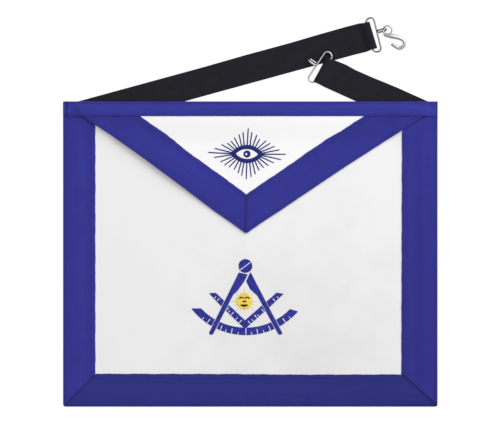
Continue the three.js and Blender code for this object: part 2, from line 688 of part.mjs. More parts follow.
// The eye's rays start on the lid's outline and end on a diamond.
function eyeRays() {
  const rays = [];
  for (let step = 0; step < 4 * RAYS_PER_QUARTER; step += 1) {
    const quarter = Math.floor(step / RAYS_PER_QUARTER);
    const within = (step % RAYS_PER_QUARTER) / RAYS_PER_QUARTER;
    const share = quarter % 2 ? 1 - within : within;
    const signX = quarter === 1 || quarter === 2 ? -1 : 1;
    const signY = quarter < 2 ? 1 : -1;
    const start = 1 - share ** 1.5;
    const rise = (1 - start ** 2) ** 0.85;
    const from = new THREE.Vector2((signX * start * EYE_WIDTH) / 2, (signY * rise * EYE_HEIGHT) / 2);
    const to = new THREE.Vector2(signX * RAY_REACH_X * (1 - share), signY * RAY_REACH_Y * share);
    const inside = from.clone().multiplyScalar(0.93);
    rays.push(relief(bar(inside, to, RAY_WIDTH)));
  }
  return rays;
}

function eyeAndRays() {
  const lids = relief(
    lens(EYE_WIDTH, EYE_HEIGHT, 12),
    [lens(EYE_WHITE_WIDTH, EYE_WHITE_HEIGHT, 9).reverse()],
  );
  return fused([lids, ...eyeRays()]);
}

function circle(x, y, radius, sides) {
  return spread(0, 360, sides).map((angle) => new THREE.Vector2(
    x + radius * Math.cos(radians(angle)),
    y + radius * Math.sin(radians(angle)),
  ));
}

// One leg of the compasses, from the pivot down: shares of LEG_DROP, side -1 left and 1 right.
const LEG_OUTLINE = [
  { across: 0.085, drop: 0.085 },
  { across: 0.536, drop: 0.97 },
  { across: 0.52, drop: 1 },
  { across: 0.478, drop: 1 },
  { across: 0.183, drop: 0.44 },
  { across: 0.14, drop: 0.392 },
  { across: 0.075, drop: 0.335 },
  { across: 0.012, drop: 0.224 },
  { across: -0.03, drop: 0.1 },
];

function compassLeg(side) {
  return relief(LEG_OUTLINE.map(({ across, drop }) => (
    new THREE.Vector2(side * across * LEG_DROP, -drop * LEG_DROP))));
}

function squareArms() {
  const rise = SQUARE_ARM_DROP - SQUARE_POINT_DROP;
  const steep = SQUARE_ARM_WIDTH / Math.cos(Math.atan2(-rise, SQUARE_HALF_SPAN));
  return relief([
    [0, -SQUARE_POINT_DROP],
    [SQUARE_HALF_SPAN, -SQUARE_ARM_DROP],
    [SQUARE_HALF_SPAN - SQUARE_ARM_WIDTH, -SQUARE_ARM_DROP],
    [0, steep - SQUARE_POINT_DROP - SQUARE_ARM_WIDTH * (-rise / SQUARE_HALF_SPAN) / 2],
    [SQUARE_ARM_WIDTH - SQUARE_HALF_SPAN, -SQUARE_ARM_DROP],
    [-SQUARE_HALF_SPAN, -SQUARE_ARM_DROP],
  ].map(([x, y]) => new THREE.Vector2(x, y)));
}

function quadrant() {
  const inner = QUADRANT_RADIUS - QUADRANT_WIDTH;
  const turn = (radius) => THREE.MathUtils.radToDeg(Math.asin(QUADRANT_END_DROP / radius));
  const [outerTurn, innerTurn] = [turn(QUADRANT_RADIUS), turn(inner)];
  return relief([
    ...arc(0, 0, QUADRANT_RADIUS, 180 + outerTurn, 360 - outerTurn, 16),
    ...arc(0, 0, inner, 360 - innerTurn, 180 + innerTurn, 16),
  ]);
}

function craftEmblem() {
  const head = relief(circle(0, 0, COMPASS_HEAD_RADIUS, 20));
  return fused([head, compassLeg(-1), compassLeg(1), squareArms(), quadrant()]);
}

// The sun's disc with thin rays, every other one longer.
function sunEmblem() {
  const outline = spread(0, SUN_RAYS, SUN_RAYS).flatMap((index) => {
    const turn = (360 * index) / SUN_RAYS;
    const reach = index % 2 ? lerp(SUN_RADIUS, SUN_RAY_REACH, 0.45) : SUN_RAY_REACH;
    const spot = (angle, radius) => arc(0, 0, radius, angle, angle, 0)[0];
    return [spot(turn - 5, SUN_RADIUS), spot(turn, reach), spot(turn + 5, SUN_RADIUS)];
  });
  return relief(outline);
}

const FLAP_FACE_Z = PANEL_THICKNESS + GAP + FLAP_THICKNESS + THREAD_GAP;
const PANEL_FACE_Z = PANEL_THICKNESS + THREAD_GAP;

addPiece('apron_panel', apronPanel(), WHITE_LEATHER);
addPiece('border_left', sideBorder(-1, LEFT_RIBBON), BLUE_RIBBON);
addPiece('border_right', sideBorder(1, RIGHT_RIBBON), BLUE_RIBBON);
addPiece('border_bottom', bottomBorder(), BLUE_RIBBON);
addPiece('flap_panel', flapPanel(), WHITE_LEATHER);
addPiece('flap_border_left', flapBorder(FLAP_LEFT), BLUE_RIBBON);
addPiece('flap_border_right', flapBorder(FLAP_RIGHT), BLUE_RIBBON);
addPiece('top_band', topBand(), BLUE_RIBBON);
addPiece('strap_left', strapSolid(LEFT_STRAP, leftStrapSection, -1), BLACK_WEBBING);
addPiece('strap_right', strapSolid(RIGHT_STRAP, rightStrapSection, 1), BLACK_WEBBING);
addPiece('wire_frame_left', wireFrame(LEFT_FRAME, LEFT_AXES), STEEL);
addPiece('wire_frame_right', wireFrame(RIGHT_FRAME, RIGHT_AXES), STEEL);
addPiece('snake_hook', snakeHook(), STEEL);
addPiece('eye_and_rays', eyeAndRays().translate(EYE_X, -EYE_FROM_TOP, FLAP_FACE_Z), NAVY_THREAD);
addPiece('eye_iris', relief(circle(0, 0, IRIS_RADIUS, 16), [circle(0, 0, GLINT_RADIUS, 8).reverse()])
  .translate(EYE_X, -EYE_FROM_TOP, FLAP_FACE_Z), NAVY_THREAD);
addPiece('craft_emblem', craftEmblem().translate(PIVOT_X, -PIVOT_FROM_TOP, PANEL_FACE_Z), BLUE_THREAD);
addPiece('sun_emblem', sunEmblem()
  .translate(PIVOT_X, -PIVOT_FROM_TOP - SUN_DROP, PANEL_FACE_Z), YELLOW_THREAD);

const extent = new THREE.Box3().setFromObject(group);
const middle = extent.getCenter(new THREE.Vector3());
group.position.set(-middle.x, -middle.y, -extent.min.z);

export default group;
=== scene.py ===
"""A masonic apron lying face up: white leather, blue ribbon borders, black webbing straps.

The classes hold their sizes in millimetres, in the apron's own plan: x = 0 is its middle,
y = 0 its top edge and z = 0 what it lies on. `Surface.to_row` brings the points to the row
frame, in metres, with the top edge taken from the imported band.
"""
import logging
import math
from collections.abc import Callable
from dataclasses import dataclass, field
from enum import Enum

import bpy
import numpy as np
from numpy.typing import NDArray
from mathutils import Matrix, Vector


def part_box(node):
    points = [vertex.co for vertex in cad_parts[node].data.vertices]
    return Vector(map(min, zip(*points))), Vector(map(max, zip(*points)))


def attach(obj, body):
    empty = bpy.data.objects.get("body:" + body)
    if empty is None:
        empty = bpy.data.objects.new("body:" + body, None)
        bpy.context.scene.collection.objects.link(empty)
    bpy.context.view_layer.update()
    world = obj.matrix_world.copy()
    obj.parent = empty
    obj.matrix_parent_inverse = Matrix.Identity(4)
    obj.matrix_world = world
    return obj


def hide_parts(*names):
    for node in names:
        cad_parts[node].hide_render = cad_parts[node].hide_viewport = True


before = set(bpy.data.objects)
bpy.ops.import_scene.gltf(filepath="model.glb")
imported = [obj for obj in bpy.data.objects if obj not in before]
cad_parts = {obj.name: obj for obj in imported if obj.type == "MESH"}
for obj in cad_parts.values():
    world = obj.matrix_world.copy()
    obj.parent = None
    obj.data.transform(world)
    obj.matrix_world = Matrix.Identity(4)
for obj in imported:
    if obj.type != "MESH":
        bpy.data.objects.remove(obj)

Floats = NDArray[np.float64]
Pair = tuple[float, float]
Colour = tuple[float, float, float]
LOG = logging.getLogger("masonic_apron")
MM = 0.001
UP = np.array([0.0, 0.0, 1.0])


class Body(Enum):
    """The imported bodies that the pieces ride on."""

    APRON = "apron"
    LEFT_LOOP = "left_loop"
    RIGHT_LOOP = "right_loop"


class Side(Enum):
    """The edges of the apron that a ribbon or a strap belongs to."""

    LEFT = -1
    RIGHT = 1
    BOTTOM = 2
    TOP = 3


def smooth(value: Floats | float, low: float, high: float) -> Floats:
    """0 below low, 1 above high and t * t * (3 - 2t) between them, t being the share."""
    share = np.clip((np.asarray(value, float) - low) / (high - low), 0.0, 1.0)
    return share * share * (3.0 - 2.0 * share)


def blend(low: Floats | float, high: Floats | float, share: Floats | float) -> Floats:
    """The straight mix of two values at a share from 0 to 1."""
    return low + (high - low) * share


def unit(vectors: Floats) -> Floats:
    """Vectors divided by their lengths, along the last axis."""
    return vectors / np.maximum(np.linalg.norm(vectors, axis=-1, keepdims=True), 1e-12)


def waver(along: Floats, reach: float, phase: float) -> Floats:
    """A hand-made edge's slow wander: three sines of unlike lengths, reach at the most."""
    waves = ((41.0, 0.45), (17.3, 0.33), (7.1, 0.22))
    return reach * sum(
        weight * np.sin(2.0 * math.pi * along / length + phase * (index + 1.7))
        for index, (length, weight) in enumerate(waves)
    )


def ridge(distance: Floats | float, width: float) -> Floats:
    """A soft ridge, 1 at distance 0: exp(-(distance / width)^2)."""
    return np.exp(-((distance / width) ** 2))


def read_off(pairs: tuple[Pair, ...], at: Floats) -> Floats:
    """Values at places, straight between the given pairs of place and value."""
    return np.interp(at, *zip(*pairs))


def ways(angles: Floats) -> Floats:
    """Flat unit directions at angles in radians."""
    return np.stack([np.cos(angles), np.sin(angles)], axis=-1)


def level_way(degrees: float) -> Floats:
    """The level unit direction at an angle from +x."""
    return np.array([math.cos(math.radians(degrees)), math.sin(math.radians(degrees)), 0.0])


def turning(degrees: float) -> Floats:
    """The matrix that turns flat points, as rows, anticlockwise about the origin."""
    cos, sin = math.cos(math.radians(degrees)), math.sin(math.radians(degrees))
    return np.array([[cos, sin], [-sin, cos]])


def walked(path: Floats) -> Floats:
    """Length along a line of points, from its first point to each."""
    return np.concatenate([[0.0], np.cumsum(np.linalg.norm(np.diff(path, axis=0), axis=1))])


def points_at(path: Floats, at: Floats) -> Floats:
    """Places on a line of points at lengths along it, straight between the points."""
    length = walked(path)
    return np.stack([np.interp(at, length, values) for values in path.T], axis=-1)


def ring_walls(rows: int, ring: int) -> NDArray[np.int64]:
    """Faces of four corners between each ring of points and the next."""
    row, column = np.meshgrid(np.arange(rows - 1) * ring, np.arange(ring), indexing="ij")
    after = (column + 1) % ring
    corners = [row + column, row + after, row + ring + after, row + ring + column]
    return np.stack(corners, axis=-1).reshape(-1, 4)


@dataclass
class Surface:
    """Points, faces and pattern coordinates of a mesh in the making, in millimetres.

    points is (n, 3); faces is a list of index blocks, each with its own number of corners;
    pattern is (n, 2), along and across the cloth; shade is (n,), the painted shade of
    seams, folds and mitres, 1 where it is darkest.
    """

    points: Floats
    faces: list[NDArray[np.int64]]
    pattern: Floats | None = None
    shade: Floats | None = None

    def to_row(self) -> Floats:
        """The points in the row frame, in metres."""
        top_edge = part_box("top_band")[1][1]
        return self.points * MM + np.array([0.0, top_edge, 0.0])

    def turned_outwards(self) -> "Surface":
        """The same surface with its faces outwards, judged by the sign of its volume.

        Returns:
            Itself, its corners reversed where the sum over fans of triangles of
            a . (b x c) is negative.
        """
        volume = 0.0
        for block in self.faces:
            for corner in range(1, block.shape[1] - 1):
                a, b, c = (self.points[block[:, k]] for k in (0, corner, corner + 1))
                volume += float(np.sum(a * np.cross(b, c)))
        if volume < 0:
            self.faces = [block[:, ::-1] for block in self.faces]
        return self


def joined(surfaces: list[Surface]) -> Surface:
    """Several surfaces in one, side by side.

    Args:
        surfaces: the surfaces, each of which keeps its own points.

    Returns:
        One surface, whose pattern and shade are 0 where a part has none.
    """
    starts = np.cumsum([0] + [len(part.points) for part in surfaces])
    faces = [b + s for part, s in zip(surfaces, starts) for b in part.faces]
    pattern = [np.zeros((len(p.points), 2)) if p.pattern is None else p.pattern for p in surfaces]
    shade = [np.zeros(len(p.points)) if p.shade is None else p.shade for p in surfaces]
    points = np.concatenate([part.points for part in surfaces])
    return Surface(points, faces, np.concatenate(pattern), np.concatenate(shade))


def closed_sheet(
    outer: Floats, inner: Floats, pattern: Floats, shade: Floats | None = None
) -> Surface:
    """A sheet with a wall: two grids of points, joined round their four rims.

    Each row becomes one ring, out along the outer skin and back along the inner one. The
    rings are joined to their neighbours, and the first and last are closed by strips.

    Args:
        outer: outer skin, (rows, columns, 3).
        inner: inner skin, of the same shape.
        pattern: coordinates along and across the cloth, (rows, columns, 2).
        shade: painted shade of seams, folds and mitres, (rows, columns).

    Returns:
        The closed surface.
    """
    rows, columns = outer.shape[:2]
    ring = 2 * columns
    points = np.concatenate([outer, inner[:, ::-1]], axis=1).reshape(-1, 3)
    step = np.arange(columns - 1)
    strip = np.stack([step, ring - 1 - step, ring - 2 - step, step + 1], axis=-1)
    far = (rows - 1) * ring + strip[:, ::-1]
    both = np.concatenate([pattern, pattern[:, ::-1]], axis=1).reshape(-1, 2)
    depth = np.zeros((rows, columns)) if shade is None else shade
    depths = np.concatenate([depth, depth[:, ::-1]], axis=1).reshape(-1)
    faces = [ring_walls(rows, ring), strip, far]
    return Surface(points, faces, both, depths).turned_outwards()


def tubes(
    paths: Floats,
    radii: Floats | float,
    sides: int = 6,
    closed: bool = False,
    flatness: float = 1.0,
    up: Floats = UP,
) -> Surface:
    """Round tubes along many paths at once.

    A point of a tube is path + radius * (cos a * aside + flatness * sin a * over), where
    aside is tangent x up and over is aside x tangent.

    Args:
        paths: (tubes, stations, 3).
        radii: one radius, or an array that fits (tubes, stations).
        sides: corners of the section.
        closed: whether each path ends where it starts.
        flatness: height of the section as a share of its width.
        up: the direction that over leans towards.

    Returns:
        One surface that holds all the tubes.
    """
    count, stations = paths.shape[:2]
    if closed:
        tangent = unit(np.roll(paths, -1, axis=1) - np.roll(paths, 1, axis=1))
    else:
        tangent = unit(np.gradient(paths, axis=1))
    aside = unit(np.cross(tangent, up))
    over = unit(np.cross(aside, tangent))
    angle = 2.0 * math.pi * np.arange(sides) / sides
    radius = np.broadcast_to(np.asarray(radii, float), (count, stations))[..., None, None]
    across = np.cos(angle)[:, None] * aside[:, :, None]
    ring = across + flatness * np.sin(angle)[:, None] * over[:, :, None]
    points = (paths[:, :, None] + radius * ring).reshape(-1, 3)
    last = stations if closed else stations - 1
    tube, station, corner = np.meshgrid(
        np.arange(count), np.arange(last), np.arange(sides), indexing="ij"
    )
    here = (tube * stations + station) * sides
    there = (tube * stations + (station + 1) % stations) * sides
    after = (corner + 1) % sides
    walls = np.stack([here + corner, there + corner, there + after, here + after], axis=-1)
    faces = [walls.reshape(-1, 4)]
    if not closed:
        start = (np.arange(count) * stations * sides)[:, None] + np.arange(sides)
        end = start + (stations - 1) * sides
        faces += [start, end[:, ::-1]]
    return Surface(points, faces).turned_outwards()


def place(
    name: str,
    surface: Surface,
    material: bpy.types.Material,
    slot: str,
    body: Body,
    nodes: tuple[str, ...] = (),
    soften: float = 0.0,
    crease: float = 40.0,
) -> bpy.types.Object:
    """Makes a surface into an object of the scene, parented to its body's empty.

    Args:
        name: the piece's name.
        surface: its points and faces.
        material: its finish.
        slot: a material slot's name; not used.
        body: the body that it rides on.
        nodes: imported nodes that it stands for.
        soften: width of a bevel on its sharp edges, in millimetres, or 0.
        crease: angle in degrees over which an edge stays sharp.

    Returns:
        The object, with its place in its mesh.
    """
    mesh = bpy.data.meshes.new(name)
    corners = [row for block in surface.faces for row in block.tolist()]
    mesh.from_pydata(surface.to_row().tolist(), [], corners)
    if surface.pattern is not None:
        layer = mesh.uv_layers.new(name="Cloth")
        index = np.empty(len(mesh.loops), dtype=np.int64)
        mesh.loops.foreach_get("vertex_index", index)
        layer.data.foreach_set("uv", (surface.pattern[index] * MM).astype(np.float32).ravel())
    if surface.shade is not None:
        # Painted shade of seams, folds and mitres, kept for the materials to darken the colour by.
        depth = mesh.attributes.new("painted_seam_shade", "FLOAT", "POINT")
        depth.data.foreach_set("value", surface.shade.astype(np.float32))
    mesh.shade_smooth()
    mesh.set_sharp_from_angle(angle=math.radians(crease))
    mesh.materials.append(material)
    piece = bpy.data.objects.new(name, mesh)
    bpy.context.scene.collection.objects.link(piece)
    if soften:
        bevel = piece.modifiers.new("soft_edges", "BEVEL")
        bevel.width = soften * MM
        bevel.segments = 2
        bevel.limit_method = "ANGLE"
        bevel.angle_limit = math.radians(50.0)
    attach(piece, body.value)
    if nodes:
        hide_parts(*nodes)
    LOG.info("%s: %d points", name, len(mesh.vertices))
    return piece


class Recipe:
    """A material in the making: adds nodes and feeds their inputs."""

    def __init__(self, name: str) -> None:
        """Starts a material with one Principled shader."""
        self.material = bpy.data.materials.new(name)
        self.material.use_nodes = True
        self.tree = self.material.node_tree
        self.tree.nodes.clear()
        self.shader = self.add("ShaderNodeBsdfPrincipled")
        output = self.add("ShaderNodeOutputMaterial")
        self.feed(output.inputs[0], self.shader.outputs[0])

    def feed(self, target: bpy.types.NodeSocket, value: object) -> None:
        """Links a socket to an input, or sets the input to a number, vector or colour."""
        if isinstance(value, bpy.types.NodeSocket):
            self.tree.links.new(value, target)
        elif target.type == "RGBA":
            target.default_value = (*value, 1.0)
        else:
            target.default_value = value

    def add(self, kind: str, **values: object) -> bpy.types.Node:
        """Adds a node; values named after its properties or its inputs are set on it.

        Args:
            kind: Blender's node type.
            values: settings and sockets, with spaces in an input's name as underscores.

        Returns:
            The node.
        """
        node = self.tree.nodes.new(kind)
        for key, value in values.items():
            if hasattr(node, key):
                setattr(node, key, value)
            else:
                self.feed(node.inputs[key.replace("_", " ")], value)
        return node

    def set(self, **values: object) -> None:
        """Feeds the shader's own inputs, with spaces in their names as underscores."""
        for key, value in values.items():
            self.feed(self.shader.inputs[key.replace("_", " ")], value)

    def calc(self, operation: str, *terms: object) -> bpy.types.NodeSocket:
        """A Math node on sockets or numbers.

        Args:
            operation: Blender's name of the operation.
            terms: one, two or three sockets or numbers.

        Returns:
            The result's socket.
        """
        node = self.add("ShaderNodeMath", operation=operation)
        for target, term in zip(node.inputs, terms):
            self.feed(target, term)
        return node.outputs[0]

    def scaled(self, term: object, factor: float, shift: object = 0.0) -> bpy.types.NodeSocket:
        """A term times a factor, plus a shift."""
        return self.calc("MULTIPLY_ADD", term, factor, shift)

    def wave(self, along: object, length: float, shift: object = 0.0) -> bpy.types.NodeSocket:
        """A sine between 0 and 1 that repeats at a length, its angle shifted."""
        angle = self.scaled(along, 2.0 * math.pi / length, shift)
        return self.scaled(self.calc("SINE", angle), 0.5, 0.5)

    def mix(self, share: object, low: object, high: object) -> bpy.types.NodeSocket:
        """A colour between low and high; each is a socket or a colour."""
        node = self.add("ShaderNodeMix", data_type="RGBA")
        for index, term in ((0, share), (6, low), (7, high)):
            self.feed(node.inputs[index], term)
        return node.outputs[2]

    def cloth(self) -> tuple[bpy.types.NodeSocket, bpy.types.NodeSocket]:
        """The lengths along and across the cloth, in millimetres."""
        source = self.add("ShaderNodeUVMap", uv_map="Cloth")
        parts = self.add("ShaderNodeSeparateXYZ", Vector=source.outputs[0])
        return self.scaled(parts.outputs[0], 1.0 / MM), self.scaled(parts.outputs[1], 1.0 / MM)

    def seam(self, strength: float) -> bpy.types.NodeSocket:
        """Painted shade of seams, folds and mitres, from 0 to a strength."""
        node = self.add("ShaderNodeAttribute", attribute_name="painted_seam_shade")
        return self.scaled(node.outputs["Fac"], strength)

    def spot(self) -> bpy.types.NodeSocket:
        """The place in object coordinates."""
        return self.add("ShaderNodeTexCoord").outputs["Object"]

    def noise(self, size: float, detail: float = 3.0) -> bpy.types.NodeSocket:
        """Noise about 0.5 on object coordinates.

        Args:
            size: size of its blotches in millimetres.
            detail: octaves.

        Returns:
            The noise's socket.
        """
        scale = 1.0 / (size * MM)
        node = self.add("ShaderNodeTexNoise", Scale=scale, Detail=detail, Vector=self.spot())
        return node.outputs["Fac"]

    def distance(self, place: Colour) -> bpy.types.NodeSocket:
        """Distance in metres from a place in object coordinates."""
        away = self.add("ShaderNodeVectorMath", operation="DISTANCE")
        self.feed(away.inputs[0], self.spot())
        self.feed(away.inputs[1], place)
        return away.outputs["Value"]

    def relief(self, *layers: tuple[bpy.types.NodeSocket, float]) -> None:
        """Bumps the shader by heights from 0 to 1, each with its depth in millimetres."""
        below = {}
        for height, depth in layers:
            bump = self.add(
                "ShaderNodeBump", Strength=1.0, Distance=depth * MM, Height=height, **below
            )
            below = {"Normal": bump.outputs[0]}
        self.set(**below)


@dataclass(frozen=True)
class LeatherFinish:
    """White lambskin: fine grain, pores and a soft sheen."""

    name: str
    colour: Colour = (0.862, 0.862, 0.862)
    # other_tone: colour of the slow blotches and of the painted shade round the patch point.
    other_tone: Colour = (0.745, 0.746, 0.743)
    # crease: colour that painted shade draws the grain's sunk cell edges towards.
    crease: Colour = (0.45, 0.44, 0.43)
    # shade_colour: colour that painted shade in seams draws the leather towards.
    shade_colour: Colour = (0.30, 0.30, 0.33)
    grain: float = 1.1
    warp: float = 0.0012
    roughness: float = 0.55
    # patch: point in object coordinates where the painted shade is darkest; it fades out over
    # shade_patch_size.
    patch: Colour = (0.075, -0.155, 0.0)
    shade_patch_size: float = 0.20
    shade_patch_depth: float = 0.9

    def shade_patch_share(self, recipe: Recipe) -> bpy.types.NodeSocket:
        """Share of the plain colour against the painted shade: 0 at the patch point, rising with
        distance to a limit.
        """
        share = recipe.calc("DIVIDE", recipe.distance(self.patch), self.shade_patch_size)
        return recipe.scaled(recipe.calc("MINIMUM", share, 1.0), self.shade_patch_depth)

    def creases(self, recipe: Recipe) -> bpy.types.NodeSocket:
        """The grain: 0 on the edges of warped cells, 1 inside them."""
        spot = recipe.spot()
        jitter = recipe.add("ShaderNodeTexNoise", Scale=400.0, Detail=2.0, Vector=spot)
        warped = recipe.add("ShaderNodeVectorMath", operation="MULTIPLY_ADD")
        for target, value in zip(warped.inputs, (jitter.outputs["Color"], (self.warp,) * 3, spot)):
            recipe.feed(target, value)
        cells = recipe.add(
            "ShaderNodeTexVoronoi", feature="DISTANCE_TO_EDGE", Scale=1.0 / (self.grain * MM),
            Vector=warped.outputs[0],
        )
        return recipe.calc("SMOOTH_MIN", recipe.scaled(cells.outputs["Distance"], 3.0), 1.0, 0.3)

    def material(self) -> bpy.types.Material:
        """Grain cells with sunk edges over pores, and slow blotches in the colour; painted
        shade in the sunk edges, in any seams and round the patch point.
        """
        recipe = Recipe(self.name)
        creases = self.creases(recipe)
        slow = recipe.noise(45.0, 4.0)
        # Slow blotches and the painted shade round the patch point draw the colour towards
        # other_tone.
        tone = recipe.calc("ADD", recipe.scaled(slow, 1.2, -0.35), self.shade_patch_share(recipe))
        base = recipe.mix(tone, self.other_tone, self.colour)
        # Painted shade in the grain: the sunk cell edges are drawn towards crease.
        shaded = recipe.mix(recipe.scaled(creases, -0.08, 0.08), base, self.crease)
        recipe.set(
            Base_Color=recipe.mix(recipe.seam(0.5), shaded, self.shade_colour),
            Roughness=recipe.scaled(slow, 0.2, self.roughness - 0.1),
            Specular_IOR_Level=0.3,
        )
        recipe.relief((creases, 0.05), (recipe.noise(0.25, 2.0), 0.02))
        return recipe.material


@dataclass(frozen=True)
class RibbonFinish:
    """Blue ribbon: fine ribs across its width, with lengthwise streaks in the tone, and
    painted shade in its rib furrows, its seams, folds and mitres, and towards its lower right.
    """

    name: str
    colour: Colour
    depth: float = 0.74
    # furrow_shade: colour that painted shade draws the rib furrows towards.
    furrow_shade: Colour = (0.006, 0.006, 0.06)
    # shade_colour: colour that painted shade in seams, folds and mitres draws the ribbon towards.
    shade_colour: Colour = (0.004, 0.004, 0.03)
    # Painted shade: the colour darkens by up to darkening towards painted_shade_at, low on the
    # right, and fades out over painted_shade_reach.
    painted_shade_at: Colour = (0.203, -0.214, 0.0)
    painted_shade_reach: float = 0.3
    darkening: float = 0.15
    rib: float = 0.72
    thread: float = 0.36
    roughness: float = 0.72

    def tone(self, recipe: Recipe, blotch: object) -> bpy.types.NodeSocket:
        """Share of the full colour, from blotches, lengthwise streaks and fine mottling.

        Args:
            recipe: the material in the making.
            blotch: the slow noise.

        Returns:
            The share's socket.
        """
        along, across = recipe.cloth()
        lanes = recipe.add(
            "ShaderNodeCombineXYZ", X=recipe.scaled(along, 0.012), Y=recipe.scaled(across, 0.9)
        )
        streak = recipe.add("ShaderNodeTexNoise", Scale=1.0, Detail=4.0, Vector=lanes.outputs[0])
        tone = recipe.scaled(blotch, 0.9, recipe.scaled(streak.outputs["Fac"], 0.8))
        tone = recipe.calc("ADD", tone, recipe.scaled(recipe.noise(1.6, 2.0), 0.7, -0.35))
        return recipe.scaled(recipe.calc("ADD", tone, -0.85), 1.1, 0.62)

    def material(self) -> bpy.types.Material:
        """Ribs are the sine of the length along the ribbon, and threads of that across."""
        recipe = Recipe(self.name)
        along, across = recipe.cloth()
        weave, fine = recipe.wave(along, self.rib), recipe.wave(across, self.thread)
        blotch = recipe.noise(14.0, 5.0)
        deep = tuple(self.depth * value for value in self.colour)
        base = recipe.mix(self.tone(recipe, blotch), deep, self.colour)
        # Painted shade in the rib furrows.
        ribbed = recipe.mix(recipe.scaled(weave, -0.16, 0.16), base, self.furrow_shade)
        # Painted shade towards the lower right, added to the painted shade of the seams, folds and
        # mitres.
        away = recipe.distance(self.painted_shade_at)
        darkening = recipe.scaled(away, -self.darkening / self.painted_shade_reach, self.darkening)
        dark = recipe.calc("ADD", recipe.seam(0.85), recipe.calc("MAXIMUM", darkening, 0.0))
        recipe.set(
            Base_Color=recipe.mix(dark, ribbed, self.shade_colour),
            Roughness=recipe.scaled(blotch, 0.15, self.roughness - 0.08),
            Specular_IOR_Level=0.16, Sheen_Weight=0.12, Sheen_Roughness=0.45,
            Sheen_Tint=(0.5, 0.5, 1.0),
        )
        recipe.relief((weave, 0.09), (fine, 0.03))
        return recipe.material


@dataclass(frozen=True)
class WebbingFinish:
    """Black belt webbing: staggered ribs across the strap."""

    name: str
    colour: Colour = (0.0130, 0.0120, 0.0165)
    # other_tone: the lighter colour of lint on rubbed rib tops.
    other_tone: Colour = (0.0255, 0.0240, 0.0315)
    rib: float = 1.15
    thread: float = 0.95

    def material(self) -> bpy.types.Material:
        """Height is |sin| of the length, times a wave across that shifts at each rib."""
        recipe = Recipe(self.name)
        along, across = recipe.cloth()
        row = recipe.calc("DIVIDE", along, self.rib)
        rib = recipe.calc("ABSOLUTE", recipe.calc("SINE", recipe.scaled(row, math.pi)))
        shift = recipe.scaled(recipe.calc("FLOOR", row), math.pi)
        wave = recipe.wave(across, self.thread, shift)
        height = recipe.calc("MULTIPLY", rib, recipe.scaled(wave, 0.6, 0.4))
        lint = recipe.calc("MULTIPLY", height, recipe.scaled(recipe.noise(9.0, 5.0), 1.2, -0.1))
        colour = recipe.mix(lint, self.colour, self.other_tone)
        recipe.set(Base_Color=colour, Roughness=0.8, Specular_IOR_Level=0.08)
        recipe.relief((height, 0.16))
        return recipe.material


@dataclass(frozen=True)
class ThreadFinish:
    """Embroidery or sewing thread: glossy strands with a fine twist."""

    name: str
    colour: Colour
    light: Colour
    patch: float = 2.4
    roughness: float = 0.5

    def material(self) -> bpy.types.Material:
        """Tone wanders between the two colours from strand to strand."""
        recipe = Recipe(self.name)
        share = recipe.scaled(recipe.noise(self.patch), 2.2, -0.6)
        colour = recipe.mix(share, self.colour, self.light)
        recipe.set(Base_Color=colour, Roughness=self.roughness, Specular_IOR_Level=0.16)
        recipe.relief((recipe.noise(0.16, 2.0), 0.03))
        return recipe.material


@dataclass(frozen=True)
class MetalFinish:
    """Plated steel or cast metal."""

    name: str
    colour: Colour
    roughness: float
    grain: float
    depth: float

    def material(self) -> bpy.types.Material:
        """A metal whose roughness and surface vary a little."""
        recipe = Recipe(self.name)
        slow = recipe.noise(5.0)
        darkening = tuple(0.82 * value for value in self.colour)
        recipe.set(
            Base_Color=recipe.mix(slow, darkening, self.colour),
            Roughness=recipe.scaled(slow, 0.16, self.roughness - 0.08),
            Metallic=1.0,
        )
        recipe.relief((recipe.noise(self.grain), self.depth))
        return recipe.material


@dataclass(frozen=True)
class FloorFinish:
    """The plain white floor of the studio."""

    name: str = "white_floor"
    colour: Colour = (0.20, 0.20, 0.20)
    glow: float = 0.86

    def material(self) -> bpy.types.Material:
        """Matt white with a faint glow of its own, as a light table has."""
        recipe = Recipe(self.name)
        recipe.set(
            Base_Color=self.colour, Roughness=0.9, Specular_IOR_Level=0.0,
            Emission_Color=(1.0, 1.0, 1.0), Emission_Strength=self.glow,
        )
        return recipe.material


